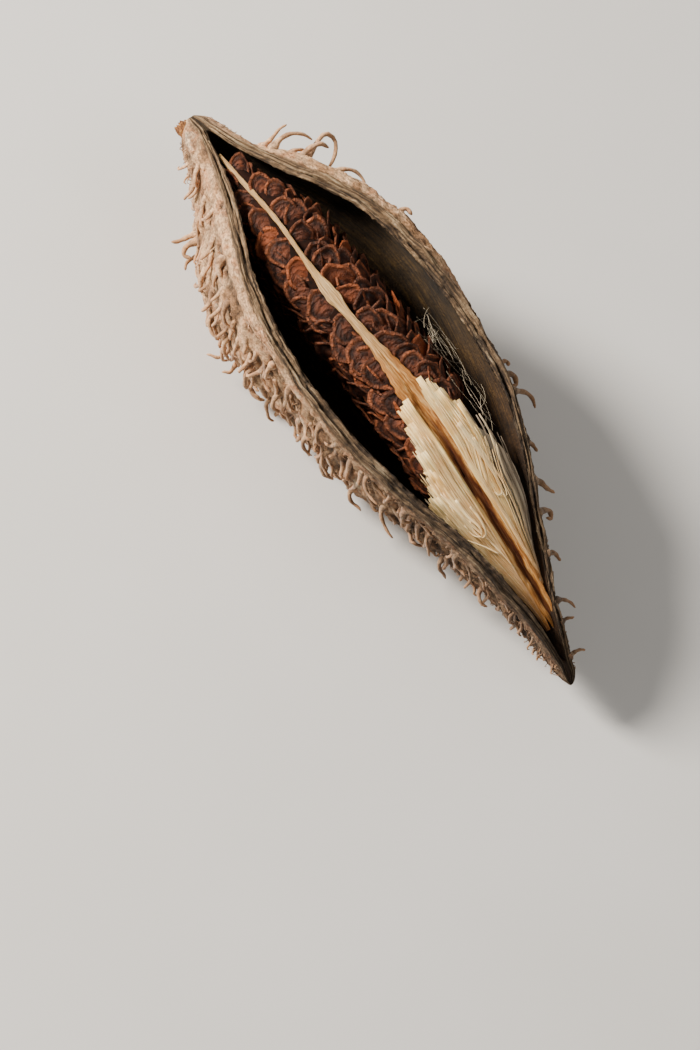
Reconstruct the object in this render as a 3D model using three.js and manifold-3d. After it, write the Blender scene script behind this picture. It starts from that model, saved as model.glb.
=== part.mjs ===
// A dried milkweed pod (the follicle of a common milkweed), split open along its one seam.
// It lies on its back with the opening up. The shell is a thin boat with a double lip and curly
// soft spines. Inside lies the bundle: two half-bundles of overlapping winged seeds, and two hanks
// of silky floss towards the beak, on either side of an upright papery placenta.
//
// Millimetres, +Z up. +X runs from the stalk end to the beak, and the origin is the middle of the
// small flat spot on the pod's back that it rests on.
//
// The pod is drawn in its own stations first: u runs from 0 at the stalk end to 100 at the beak,
// y to the right and z up from the line that joins the two ends. place() tips and lifts those
// coordinates onto the resting surface.

import * as THREE from "three";
import { mergeVertices } from "three/addons/utils/BufferGeometryUtils.js";
import Module from "manifold-3d";

const wasm = await Module();
wasm.setup();

// Driving dimensions
const POD_LENGTH = 100;
const REST_STATION = 43; // u of the flat spot
const REST_SIDE = 1.0; // the spot is this far to the right of the stalk's line
const NOSE_DOWN = THREE.MathUtils.degToRad(7.2); // how far the pod tips towards its beak as it lies
const REST_HEIGHT = 11.75; // height of the end-to-end line above the surface at the flat spot
const WALL = 1.7; // shell wall
const RIM_WALL = 2.3; // the wall where it splits into its two lips
const FURROW = 1.0; // depth of the furrow between the lips
const GAP = 0.35; // clearance between separate pieces
const BUNDLE_ROLL = THREE.MathUtils.degToRad(28); // the seed bundle leans this far to the left

const SPINE_PITCH = 6.8; // spacing of the soft spines on the shell
const SPINE_ROOT_R = 0.8;
const SPINE_TIP_R = 0.4;
// Long spines: station, turn round the shell, length, how far they stand off, and their swing
const LONG_SPINES = [
  [9.5, 0.83, 4.2, 3.2, -0.5],
  [12.5, 0.88, 3.4, 3.4, 0.4],
  [15.5, 0.83, 3.6, 4.4, -0.3],
  [18.5, 0.88, 3.8, 2.4, 0.3],
  [22, 0.84, 4.4, 2.6, -0.4],
  [27.5, 0.86, 4.6, 2.8, -0.5],
];

const SEED_LENGTH = 7.2;
const SEED_WIDTH = 6.0;
const SEED_THICKNESS = 0.9;
const SEED_PITCH_ALONG = 4.4;
const SEED_PITCH_ROUND = 5.3;
const SEEDS_FROM = 12.5;
const LEFT_SEEDS_TO = 62;
const RIGHT_SEEDS_TO = 55;

const FLOSS_TO = 91;
const TUFT_WIDTH = 3.4;
const TUFT_DEPTH = 1.5; // how deep the tufts are rooted below the bundle's outline

const COLOURS = {
  shell: 0xb3a48c,
  seeds: 0x6b3320,
  placenta: 0xd0ab72,
  floss: 0xe9dfc8,
  stub: 0x7a4526,
};

// Seeded random numbers between 0 and 1
function randomFrom(seed) {
  let state = seed;
  return () => {
    state = (state + 0x6d2b79f5) | 0;
    let t = Math.imul(state ^ (state >>> 15), 1 | state);
    t = (t + Math.imul(t ^ (t >>> 7), 61 | t)) ^ t;
    return ((t ^ (t >>> 14)) >>> 0) / 4294967296;
  };
}

// A smooth curve through [u, value] points that never overshoots them
function profile(points) {
  const slopes = points.map((point, i) => {
    if (i === 0 || i === points.length - 1) return 0;
    const before = (point[1] - points[i - 1][1]) / (point[0] - points[i - 1][0]);
    const after = (points[i + 1][1] - point[1]) / (points[i + 1][0] - point[0]);
    return before * after <= 0 ? 0 : (2 * before * after) / (before + after);
  });
  const last = points.length - 1;
  slopes[0] = (points[1][1] - points[0][1]) / (points[1][0] - points[0][0]);
  slopes[last] = (points[last][1] - points[last - 1][1]) / (points[last][0] - points[last - 1][0]);
  return (u) => {
    const at = Math.min(Math.max(u, points[0][0]), points[last][0]);
    let i = 0;
    while (i < last - 1 && at > points[i + 1][0]) i++;
    const span = points[i + 1][0] - points[i][0];
    const t = (at - points[i][0]) / span;
    const t2 = t * t;
    const t3 = t2 * t;
    return (
      (2 * t3 - 3 * t2 + 1) * points[i][1] +
      (t3 - 2 * t2 + t) * span * slopes[i] +
      (3 * t2 - 2 * t3) * points[i + 1][1] +
      (t3 - t2) * span * slopes[i + 1]
    );
  };
}

// Shell: half widths of the left and right wall, the back, the widest level and the split edge
const leftWall = profile([
  [0, 1.4], [2, 2.6], [6, 4.0], [10, 5.4], [14, 7.6], [20, 11.2], [25, 13.4], [31, 14.3],
  [39, 13.6], [50, 12.4], [57, 11.3], [65, 8.8], [72, 6.9], [80, 4.6], [88, 2.9], [95, 1.7], [100, 0.5],
]);
const rightWall = profile([
  [0, 1.4], [2, 2.9], [6, 4.6], [10, 6.4], [14, 8.8], [20, 12.6], [25, 14.9], [31, 16.6],
  [38, 17.1], [45, 16.6], [53, 14.9], [62, 12.3], [70, 9.8], [77, 7.3], [84, 5.2], [90, 3.6],
  [95, 2.2], [100, 0.5],
]);
const back = profile([
  [0, 0.6], [3, -1.4], [7, -3.6], [12, -6.8], [18, -10.2], [25, -12.4], [32, -13.1], [40, -12.6],
  [50, -11.2], [58, -9.4], [66, -6.6], [74, -3.8], [82, -1.6], [90, -0.3], [96, 0.2], [100, 0.3],
]);
const widest = profile([
  [0, 2.0], [10, 2.4], [25, 3.0], [45, 3.4], [70, 3.8], [82, 3.6], [92, 2.2], [100, 0.9],
]);
const rimHeight = profile([
  [0, 3.6], [3, 4.8], [7, 5.9], [13, 7.9], [20, 9.8], [28, 10.7], [45, 11.5], [58, 11.9],
  [70, 11.0], [78, 9.9], [86, 7.8], [93, 5.2], [97, 3.0], [100, 1.2],
]);
const rimHalfGap = profile([
  [2.4, 0.3], [6, 1.2], [10, 2.8], [14, 4.6], [20, 8.1], [25, 10.6], [32, 12.5], [42, 13.6],
  [50, 13.2], [58, 11.9], [66, 9.4], [74, 6.4], [82, 4.0], [90, 1.9], [97, 0.4],
]);

// Bundle: its half width, half depth and centre line, and the width of the placenta's edge
const bundleHalfWidth = profile([
  [6, 0.9], [12, 2.0], [16, 3.4], [20, 4.8], [26, 5.8], [34, 6.2], [50, 6.2], [62, 6.1], [69, 5.6],
  [75, 4.5], [81, 3.0], [87, 1.7], [95, 0.8],
]);
const bundleHalfDepth = profile([
  [6, 1.0], [12, 2.4], [16, 4.0], [20, 5.4], [26, 7.0], [34, 7.8], [50, 7.9], [61, 7.0],
  [70, 5.4], [77, 4.0], [84, 2.7], [90, 1.6], [95, 1.0],
]);
const ridgeHeight = profile([
  [6, 4.2], [10, 5.8], [15, 7.7], [20, 9.2], [26, 10.4], [34, 11.3], [46, 12.1], [58, 12.3],
  [66, 11.4], [74, 9.9], [82, 8.0], [89, 5.9], [95, 3.9],
]);
const ridgeSide = profile([
  [6, -0.6], [12, -1.2], [20, -1.7], [30, -2.5], [36, -2.3], [46, -1.5], [56, -1.1], [66, -0.9],
  [76, -0.1], [84, 0.5], [90, 0.8], [95, 0.7],
]);
const placentaWidth = profile([
  [6, 0.9], [14, 1.2], [24, 1.1], [29, 1.4], [33, 2.5], [37.5, 1.2], [44, 1.6], [50, 2.6],
  [56, 3.2], [66, 3.0], [80, 2.6], [88, 2.0], [95, 1.0],
]);
const placentaGroove = profile([[6, 0], [46, 0.1], [56, 0.5], [64, 1.0], [84, 1.0], [95, 0.1]]);

// Pod stations to the resting frame
function place(u, y, z) {
  const along = u - REST_STATION;
  return new THREE.Vector3(
    along * Math.cos(NOSE_DOWN) + z * Math.sin(NOSE_DOWN),
    y - REST_SIDE,
    z * Math.cos(NOSE_DOWN) - along * Math.sin(NOSE_DOWN) + REST_HEIGHT
  );
}

function unit(vector) {
  return vector.clone().normalize();
}

function stations(from, to, count) {
  return Array.from({ length: count + 1 }, (_, i) => from + ((to - from) * i) / count);
}

function middleOf(points) {
  return points.reduce((sum, p) => sum.add(p), new THREE.Vector3()).divideScalar(points.length);
}

// Skins a row of closed sections, each ordered from the bottom round by the right, and caps both ends
function loft(sections) {
  const size = sections[0].length;
  const positions = [];
  const triangle = (a, b, c) => positions.push(...a.toArray(), ...b.toArray(), ...c.toArray());
  for (let i = 0; i < sections.length - 1; i++) {
    for (let j = 0; j < size; j++) {
      const k = (j + 1) % size;
      const here = sections[i];
      const next = sections[i + 1];
      triangle(here[j], here[k], next[k]);
      triangle(here[j], next[k], next[j]);
    }
  }
  const first = sections[0];
  const last = sections[sections.length - 1];
  if (size === 3) {
    triangle(first[2], first[1], first[0]);
    triangle(...last);
  } else {
    const firstMiddle = middleOf(first);
    const lastMiddle = middleOf(last);
    for (let j = 0; j < size; j++) {
      const k = (j + 1) % size;
      triangle(firstMiddle, first[k], first[j]);
      triangle(lastMiddle, last[j], last[k]);
    }
  }
  const attribute = new THREE.Float32BufferAttribute(positions, 3);
  return new THREE.BufferGeometry().setAttribute("position", attribute);
}

// A three.js geometry as a manifold-3d solid
function solid(geometry) {
  const bare = new THREE.BufferGeometry();
  bare.setAttribute("position", geometry.getAttribute("position"));
  if (geometry.index) bare.setIndex(geometry.index);
  const merged = mergeVertices(bare, 1e-4);
  return new wasm.Manifold(
    new wasm.Mesh({
      numProp: 3,
      vertProperties: new Float32Array(merged.getAttribute("position").array),
      triVerts: new Uint32Array(merged.index.array),
    })
  );
}

// The largest body of a solid: scraps that a cut leaves loose are dropped
function largestBody(made) {
  return made.decompose().reduce((best, body) => (body.volume() > best.volume() ? body : best));
}

function meshOf(name, made, colour, roughness) {
  const { numProp, vertProperties, triVerts } = largestBody(made).getMesh();
  const positions = new Float32Array((vertProperties.length / numProp) * 3);
  for (let i = 0; i < positions.length / 3; i++) {
    positions.set(vertProperties.subarray(i * numProp, i * numProp + 3), i * 3);
  }
  const geometry = new THREE.BufferGeometry()
    .setAttribute("position", new THREE.BufferAttribute(positions, 3))
    .setIndex(new THREE.BufferAttribute(triVerts, 1));
  geometry.computeVertexNormals();
  const material = new THREE.MeshStandardMaterial({ color: colour, roughness, metalness: 0 });
  const mesh = new THREE.Mesh(geometry, material);
  mesh.name = name;
  return mesh;
}

// One wall of the shell's section, from the middle of the back up to the lip, as [y, z] pairs.
// side is 1 for the right wall and -1 for the left, and inset moves the line into the wall.
const ARC_STEPS = 6;
const SIDE_STEPS = 4;
function wallLine(u, side, inset) {
  const half = Math.max((side > 0 ? rightWall(u) : leftWall(u)) - inset, 0.15);
  const keel = 0.3 * (rightWall(u) - leftWall(u));
  const level = widest(u);
  const depth = Math.max(level - back(u) - inset, 0.15);
  const gap = Math.max(rimHalfGap(u), 0.25);
  const lipOut = inset > 0 ? gap - (inset - WALL) : gap + RIM_WALL * rimShare(u);
  const lipUp = rimHeight(u);
  const points = [];
  for (let i = 0; i < ARC_STEPS; i++) {
    const angle = ((i / ARC_STEPS) * Math.PI) / 2;
    const reach = keel + (side * half - keel) * Math.sin(angle);
    points.push([reach, level - depth * Math.cos(angle)]);
  }
  const rise = new THREE.CubicBezierCurve(
    new THREE.Vector2(half, level),
    new THREE.Vector2(half, level + 0.45 * (lipUp - level)),
    new THREE.Vector2(lipOut + 0.35 * Math.max(half - lipOut, 0), level + 0.8 * (lipUp - level)),
    new THREE.Vector2(lipOut, lipUp - 0.2)
  );
  for (const p of rise.getPoints(SIDE_STEPS)) points.push([side * p.x, p.y]);
  return points;
}

// The rim is thinner near both ends
function rimShare(u) {
  return Math.min(1, 0.35 + u / 22, 0.25 + (POD_LENGTH - u) / 24);
}

// The whole outside of the shell as one solid, its top level with the lips and furrowed beside them
function shellOutside() {
  const random = randomFrom(11);
  const along = [
    0, 1.2, 3, 5.5, 8.5, 12, 16, 20.5, 25, 30, 35, 40, 45, 50, 55, 60, 65, 70.5, 76, 81.5, 87, 92, 96,
    98.5, 100,
  ];
  return solid(
    loft(
      along.map((u) => {
        const share = rimShare(u);
        const gap = Math.max(rimHalfGap(u), 0.25);
        const wave = 0.22 * Math.sin(u * 1.9) * share;
        const lips = (side) => [
          [side * (gap + RIM_WALL * share * 0.5), rimHeight(u) - FURROW * share],
          [side * gap, rimHeight(u) + 0.1 + wave],
        ];
        const rough = ([y, z], i) => {
          const lump = i < ARC_STEPS + SIDE_STEPS - 1 ? (random() - 0.5) * 0.55 * share : 0;
          return [y * (1 + lump / 14), z - lump * 0.6];
        };
        const right = wallLine(u, 1, 0).map(rough);
        const left = wallLine(u, -1, 0).slice(1).map(rough);
        const outline = [...right, ...lips(1), ...lips(-1).reverse(), ...left.reverse()];
        return outline.map(([y, z]) => place(u, y, z));
      })
    )
  );
}

// The hollow of the pod, open at the top. A larger inset gives the room left to what lies inside.
function hollow(inset) {
  const along = [
    3.4, 5.5, 8.5, 12.5, 17, 22, 27, 32.5, 38, 43.5, 49, 54.5, 60, 66, 72, 78, 84, 89.5, 93.5, 96.6,
  ];
  const first = along[0];
  const last = along[along.length - 1];
  const shrink = (inset - WALL) * 2;
  return solid(
    loft(
      along.map((station) => {
        const u = THREE.MathUtils.mapLinear(station, first, last, first + shrink, last - shrink);
        const gap = Math.max(rimHalfGap(u) - (inset - WALL), 0.12);
        const right = wallLine(u, 1, inset);
        const left = wallLine(u, -1, inset).slice(1);
        const top = rimHeight(u) + 12;
        const outline = [...right, [gap, top], [-gap, top], ...left.reverse()];
        return outline.map(([y, z]) => place(u, y, z));
      })
    )
  );
}

// A tapering tube with few sides along a curve
function taperedTube(curve, steps, sides, radiusAt) {
  const frames = curve.computeFrenetFrames(steps, false);
  const sections = [];
  for (let i = 0; i <= steps; i++) {
    const centre = curve.getPointAt(i / steps);
    const radius = radiusAt(i / steps);
    sections.push(
      Array.from({ length: sides }, (_, j) => {
        const angle = (j / sides) * 2 * Math.PI;
        return centre
          .clone()
          .addScaledVector(frames.normals[i], Math.cos(angle) * radius)
          .addScaledVector(frames.binormals[i], Math.sin(angle) * radius);
      })
    );
  }
  return loft(sections);
}

// A point on the shell's outside and the direction out of it. turn runs from -1 at the left lip
// through 0 on the back to 1 at the right lip.
function shellPoint(u, turn) {
  const side = turn < 0 ? -1 : 1;
  const line = wallLine(u, side, 0).map(([y, z]) => new THREE.Vector2(y, z));
  const curve = new THREE.Path().setFromPoints(line);
  const at = Math.min(Math.max(Math.abs(turn), 0.001), 0.999);
  const here = curve.getPointAt(at);
  const tangent = curve.getTangentAt(at);
  return {
    root: place(u, here.x, here.y),
    out: unit(place(0, side * tangent.y, -side * tangent.x).sub(place(0, 0, 0))),
    length: curve.getLength(),
  };
}

// Where the spines grow. Staggered rings of them lean over and lie close to the felt, curling towards
// the beak and down the walls. A few long ones stand off the right-hand lip near the stalk.
function spineRoots() {
  const random = randomFrom(23);
  const roots = LONG_SPINES.map(([here, turn, length, rise, swing]) => {
    return { here, turn, length, rise, heading: 0.2, swing };
  });
  let ring = 0;
  for (let u = 8; u < 97; u += SPINE_PITCH * 0.82, ring++) {
    const girth = shellPoint(u, -0.5).length + shellPoint(u, 0.5).length;
    const count = Math.max(2, Math.round(girth / SPINE_PITCH));
    for (let i = 0; i < count; i++) {
      const turn = ((i + 0.5 + (ring % 2) * 0.5) / count) * 2 - 1 + (random() - 0.5) * 0.1;
      const here = u + (random() - 0.5) * 2.6;
      const size = Math.min(1, 0.45 + (POD_LENGTH - here) / 60, 0.35 + here / 18);
      const length = (3.4 + 2 * random()) * size;
      const heading = 0.35 + 0.75 * random();
      const swing = (random() - 0.5) * 1.6;
      if (Math.abs(turn) > 0.9 || (turn > 0.7 && here < 30)) continue;
      roots.push({ here, turn, length, rise: 1.15 * size, heading, swing });
    }
  }
  return roots;
}

function softSpines() {
  const towardsBeak = unit(place(1, 0, 0).sub(place(0, 0, 0)));
  return spineRoots().map(({ here, turn, length, rise, heading, swing }) => {
    const { root, out } = shellPoint(here, turn);
    const size = Math.min(1, 0.45 + (POD_LENGTH - here) / 60, 0.35 + here / 18);
    const down = unit(new THREE.Vector3().crossVectors(out, towardsBeak));
    down.multiplyScalar(turn < 0 ? -1 : 1);
    const lead = towardsBeak.clone().multiplyScalar(Math.cos(heading));
    lead.addScaledVector(down, Math.sin(heading));
    const bend = new THREE.Vector3().crossVectors(out, lead).multiplyScalar(swing);
    const step = (outward, forward, across) =>
      root
        .clone()
        .addScaledVector(out, outward * rise)
        .addScaledVector(lead, forward * length)
        .addScaledVector(bend, across * length);
    const points = [
      root.clone().addScaledVector(out, -0.7 * WALL),
      step(0.75, 0.12, 0),
      step(1.15, 0.55, 0.12),
      step(0.8, 0.9, 0.5),
    ];
    // Those under the pod lie pressed to the surface
    for (const p of points.slice(1)) p.z = Math.max(p.z, 0.6);
    const radiusAt = (t) =>
      THREE.MathUtils.lerp(SPINE_ROOT_R, SPINE_TIP_R, Math.sqrt(t)) * (0.7 + 0.3 * size);
    return solid(taperedTube(new THREE.CatmullRomCurve3(points), 4, 3, radiusAt));
  });
}

// The stub of the stalk: a short broken stump at the very end, its end face uneven
function stalkStub(grow) {
  const random = randomFrom(5);
  const sides = 8;
  const from = place(2.4, -0.1, 1.7);
  const to = place(-0.7, -0.4, 1.1);
  const axis = unit(to.clone().sub(from));
  const across = unit(new THREE.Vector3(0, 1, 0).cross(axis));
  const upward = unit(new THREE.Vector3().crossVectors(axis, across));
  const ring = (share, radius, ragged) =>
    Array.from({ length: sides }, (_, j) => {
      const angle = (j / sides) * 2 * Math.PI;
      return from
        .clone()
        .lerp(to, share)
        .addScaledVector(axis, ragged * (random() - 0.5) + (share === 0 ? -grow : 0))
        .addScaledVector(across, Math.cos(angle) * (radius + grow))
        .addScaledVector(upward, Math.sin(angle) * (radius + grow));
    });
  return solid(loft([ring(0, 0.9, 0), ring(0.5, 1.0, 0), ring(0.8, 1.25, 0.3), ring(1, 1.0, 0.9)]));
}

// Bundle coordinates: across is to the bundle's right, up is towards the placenta's edge
const LEAN = { y: -Math.sin(BUNDLE_ROLL), z: Math.cos(BUNDLE_ROLL) };
function bundlePoint(u, across, up) {
  const depth = bundleHalfDepth(u);
  const y = ridgeSide(u) + LEAN.y * (up - depth) + LEAN.z * across;
  const z = ridgeHeight(u) + LEAN.z * (up - depth) - LEAN.y * across;
  return place(u, y, z);
}

// The placenta: an upright papery blade whose visible edge is a grooved, swelling band. Grown, it
// is the room that the seeds and floss leave for it, open upwards.
function placenta(grow) {
  return solid(
    loft(
      stations(7 - grow, 94 + grow, 24).map((u) => {
        const head = placentaWidth(u) / 2 + grow;
        const blade = Math.min(0.4, head * 0.7) + grow * 0.5;
        const top = bundleHalfDepth(u) + 0.25;
        const thick = Math.min(1.1, bundleHalfDepth(u) * 0.6);
        const foot = -bundleHalfDepth(u) * 0.9 - grow;
        const groove = grow ? 0 : placentaGroove(u);
        const crest = grow ? top + 6 : top;
        return [
          [-blade, foot],
          [blade, foot],
          [blade, top - thick - 0.5 - grow],
          [head, top - thick - grow],
          [head * 0.9, crest],
          [0.1, crest - groove * 0.9],
          [-0.1, crest - groove * 0.9],
          [-head * 0.9, crest],
          [-head, top - thick - grow],
          [-blade, top - thick - 0.5 - grow],
        ].map(([across, up]) => bundlePoint(u, across, up));
      })
    )
  );
}

// Half of a bundle's core, to one side of the placenta: a D-shaped spindle
function halfCore(side, from, to, count, share, grow = 0) {
  const steps = 7;
  return solid(
    loft(
      stations(from, to, count).map((u) => {
        const section = Array.from({ length: steps + 1 }, (_, i) => {
          const angle = -Math.PI / 2 + (i / steps) * Math.PI;
          const across = side * (0.15 + (bundleHalfWidth(u) * share + grow) * Math.cos(angle));
          return bundlePoint(u, across, (bundleHalfDepth(u) * share + grow) * Math.sin(angle));
        });
        return side > 0 ? section : section.reverse();
      })
    )
  );
}

// Everything to one side of the bundle's middle plane
function sideRoom(side) {
  const corners = [
    [GAP / 2, -30],
    [30, -30],
    [30, 30],
    [GAP / 2, 30],
  ];
  return solid(
    loft(
      stations(4, 98, 14).map((u) => {
        const section = corners.map(([across, up]) => bundlePoint(u, side * across, up));
        return side > 0 ? section : section.reverse();
      })
    )
  );
}

// One seed: a thin oval with a raised winged margin and a sunken middle
function seedShape(random) {
  const size = 0.92 + 0.16 * random();
  const half = SEED_THICKNESS / 2;
  const outline = [
    [0, -half - 0.2],
    [1, -0.05],
    [0.8, half + 0.15],
    [0, half - 0.12],
  ].map(([r, h]) => new THREE.Vector2(r, h));
  const shape = new THREE.LatheGeometry(outline, 8);
  shape.rotateX(Math.PI / 2);
  shape.scale((SEED_LENGTH / 2) * size, (SEED_WIDTH / 2) * size, 1);
  return shape;
}

// Seeds in staggered rows over half the bundle, overlapping like shingles with their free round
// ends towards the stalk
function shingledSeeds(side, to, tilt, seed) {
  const random = randomFrom(seed);
  const made = [];
  let row = 0;
  for (let u = SEEDS_FROM; u < to; u += SEED_PITCH_ALONG, row++) {
    const girth = Math.PI * Math.sqrt((bundleHalfWidth(u) ** 2 + bundleHalfDepth(u) ** 2) / 2);
    const count = Math.max(1, Math.round(girth / SEED_PITCH_ROUND));
    for (let i = 0; i < count; i++) {
      const share = Math.min((i + 0.45 + (row % 2) * 0.5) / count, 1.02);
      const angle = Math.PI / 2 - share * Math.PI + (random() - 0.5) * 0.08;
      const here = u + (random() - 0.5) * 0.9;
      const lift = THREE.MathUtils.degToRad(tilt + (random() - 0.5) * 9);
      const turn = (random() - 0.5) * 0.35;
      const onBundle = (station, at) =>
        bundlePoint(
          station,
          side * bundleHalfWidth(station) * Math.cos(at),
          bundleHalfDepth(station) * Math.sin(at)
        );
      const centre = onBundle(here, angle);
      const along = unit(centre.clone().sub(onBundle(here + 0.5, angle)));
      const round = unit(onBundle(here, angle - 0.05).sub(centre));
      const out = unit(new THREE.Vector3().crossVectors(along, round)).multiplyScalar(-side);
      const sideways = unit(new THREE.Vector3().crossVectors(out, along));
      const pose = new THREE.Matrix4()
        .makeTranslation(centre.addScaledVector(out, 0.1))
        .multiply(new THREE.Matrix4().makeBasis(along, sideways, out))
        .multiply(new THREE.Matrix4().makeRotationY(-lift))
        .multiply(new THREE.Matrix4().makeRotationZ(turn));
      made.push(solid(seedShape(random).applyMatrix4(pose)));
    }
  }
  return made;
}

// A point on a hank of floss. The right hank is combed out towards its wall.
const rightFlare = profile([[50, 1.05], [58, 1.12], [66, 1.35], [74, 1.4], [82, 1.15], [92, 1]]);
function flossPoint(side, u, angle, out) {
  const flare = side > 0 ? rightFlare(u) : 1;
  const across = Math.max((bundleHalfWidth(u) * flare + out) * Math.cos(angle), 0.1);
  return bundlePoint(u, side * across, (bundleHalfDepth(u) + out) * Math.sin(angle));
}

// The smaller core of a hank, which the tufts cover
function flossCore(side, from, grow) {
  const steps = 6;
  return solid(
    loft(
      stations(from - grow, FLOSS_TO + grow, 6).map((u) => {
        const section = Array.from({ length: steps + 1 }, (_, i) =>
          flossPoint(side, u, -Math.PI / 2 + (i / steps) * Math.PI, grow - 0.7)
        );
        return side > 0 ? section : section.reverse();
      })
    )
  );
}

// Tufts of silk: flat bands side by side from their cut ends to the beak, each given by its angle
// round the bundle and the station that it starts from. Grown, they are the room that the seeds
// leave for them, open outwards.
function flossTufts(side, starts, seed, grow) {
  const random = randomFrom(seed);
  return starts.map(([degrees, from], i) => {
    const angle = THREE.MathUtils.degToRad(degrees);
    const steps = 5;
    const lift = i % 2 ? 0.8 : 0.35;
    const skew = (random() - 0.5) * 1.6;
    const end = FLOSS_TO + 0.8 * random();
    const sections = stations(from - grow, end + grow, steps).map((u, k) => {
      const t = k / steps;
      const width = TUFT_WIDTH * (1 - 0.72 * t) + 2 * grow;
      const crest = lift * (1 - t) + 0.3;
      const reach = Math.hypot(bundleHalfWidth(u), bundleHalfDepth(u)) / Math.SQRT2;
      const spread = width / 2 / Math.max(reach, 0.8);
      const edge = (offset, out) =>
        flossPoint(side, u + (k === 0 ? offset * skew : 0), angle + offset * spread, out);
      const top = grow ? crest + 4 : crest;
      const section = [
        edge(-1, crest - 0.65),
        edge(-0.5, top - 0.15),
        edge(0.5, top),
        edge(1, crest - 0.65),
        edge(0, -TUFT_DEPTH * (1 - 0.4 * t) - grow),
      ];
      return side > 0 ? section : section.reverse();
    });
    return solid(loft(sections));
  });
}

function fuse(pieces) {
  return wasm.Manifold.union(pieces);
}

// The surface that the pod rests on, as a block to cut by
const ground = solid(new THREE.BoxGeometry(300, 300, 60).translate(0, 0, -30));

const shell = fuse([shellOutside().subtract(hollow(WALL)), ...softSpines()])
  .subtract(hollow(WALL))
  .subtract(stalkStub(GAP))
  .subtract(ground);

const room = hollow(WALL + GAP);
const placentaRoom = placenta(GAP);

const LEFT_TUFTS = [[78, 51.5], [61, 54], [43, 57.5], [23, 61], [0, 63], [-26, 64.5], [-54, 66]];
const RIGHT_TUFTS = [[76, 51], [57, 53.5], [37, 56], [15, 57.5], [-9, 58], [-35, 59], [-63, 60]];

function flossOf(side, seedsTo, starts, seed, grow) {
  return fuse([flossCore(side, seedsTo + 1.4, grow), ...flossTufts(side, starts, seed, grow)]);
}

function seedsOf(side, seedsTo, tilt, seed) {
  return fuse([halfCore(side, 9, seedsTo + 1, 10, 1), ...shingledSeeds(side, seedsTo, tilt, seed)]);
}

const leftRoom = room.intersect(sideRoom(-1)).subtract(placentaRoom);
const rightRoom = room.intersect(sideRoom(1)).subtract(placentaRoom);
const leftSeeds = seedsOf(-1, LEFT_SEEDS_TO, 15, 31)
  .subtract(flossOf(-1, LEFT_SEEDS_TO, LEFT_TUFTS, 61, GAP))
  .intersect(leftRoom);
const rightSeeds = seedsOf(1, RIGHT_SEEDS_TO, 18, 47)
  .subtract(flossOf(1, RIGHT_SEEDS_TO, RIGHT_TUFTS, 71, GAP))
  .intersect(rightRoom);
const leftFloss = flossOf(-1, LEFT_SEEDS_TO, LEFT_TUFTS, 61, 0).intersect(leftRoom);
const rightFloss = flossOf(1, RIGHT_SEEDS_TO, RIGHT_TUFTS, 71, 0).intersect(rightRoom);

const pod = new THREE.Group();
pod.add(meshOf("shell", shell, COLOURS.shell, 0.95));
pod.add(meshOf("placenta", placenta(0).intersect(room), COLOURS.placenta, 0.7));
pod.add(meshOf("seeds_left", leftSeeds, COLOURS.seeds, 0.6));
pod.add(meshOf("seeds_right", rightSeeds, COLOURS.seeds, 0.6));
pod.add(meshOf("floss_left", leftFloss, COLOURS.floss, 0.5));
pod.add(meshOf("floss_right", rightFloss, COLOURS.floss, 0.5));
pod.add(meshOf("stalk_stub", stalkStub(0), COLOURS.stub, 0.9));

export default pod;
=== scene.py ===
"""A dried milkweed pod, split open along its seam and lying on its back.

The husk is a felted boat with a double lip and soft curling spines. Inside lie two half-bundles of
overlapping winged seeds and two hanks of silky floss, on either side of an upright papery placenta.

Metres, +Z up. +X runs from the stalk end to the beak, and the origin is the middle of the flat spot
that the pod rests on. Shapes are drawn in the pod's own stations, in millimetres: u runs from 0 at
the stalk end to 100 at the beak, y to the right and z up from the line that joins the two ends.
"""

import math

import bpy
import numpy as np
from mathutils import Matrix, Vector, noise


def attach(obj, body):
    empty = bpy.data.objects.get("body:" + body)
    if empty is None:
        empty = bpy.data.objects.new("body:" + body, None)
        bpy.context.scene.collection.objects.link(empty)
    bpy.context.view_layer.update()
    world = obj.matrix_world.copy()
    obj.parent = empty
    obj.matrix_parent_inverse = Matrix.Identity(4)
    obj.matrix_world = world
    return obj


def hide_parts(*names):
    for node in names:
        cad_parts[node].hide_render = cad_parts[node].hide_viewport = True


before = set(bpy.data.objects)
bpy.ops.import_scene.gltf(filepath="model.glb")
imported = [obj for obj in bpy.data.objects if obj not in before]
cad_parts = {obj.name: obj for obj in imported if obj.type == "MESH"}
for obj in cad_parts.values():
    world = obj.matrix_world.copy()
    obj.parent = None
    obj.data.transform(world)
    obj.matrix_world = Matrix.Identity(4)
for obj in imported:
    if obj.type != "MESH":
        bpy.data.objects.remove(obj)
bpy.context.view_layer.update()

bl_info = {
    "name": "Milkweed pod",
    "version": (1, 0, 0),
    "blender": (4, 5, 0),
    "location": "3D View > Sidebar > Pod",
    "description": "Builds a dried, split milkweed pod with its seeds and floss",
    "category": "Add Mesh",
}

MM = 0.001
POD_LENGTH = 100.0
# The resting pose: the station and side of the flat spot, how far the beak tips down, and how high
# the line between the pod's ends lies over the flat spot
REST_STATION = 43.0
REST_SIDE = 1.0
NOSE_DOWN = math.radians(7.2)
REST_HEIGHT = 11.75
# Thickness of the husk's wall and of its double lip, and how far the seed bundle leans to the left
WALL = 1.7
RIM_WALL = 2.3
BUNDLE_ROLL = math.radians(28)
# How far apart the large spines grow
SPINE_PITCH = 6.8
# Where the silk and its dark core end, by the beak
SILK_END = 91.4
SILK_CORE_END = 88
# The range of random phases, a little short of a full turn
PHASE = 6.28
# The picture: pixels to a millimetre, its height in pixels, and how the pod's length turns in it
PICTURE_SCALE = 6.854
PICTURE_HEIGHT = 1050
POD_RIGHTWARD, POD_DOWNWARD = 0.566, 0.824
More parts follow.
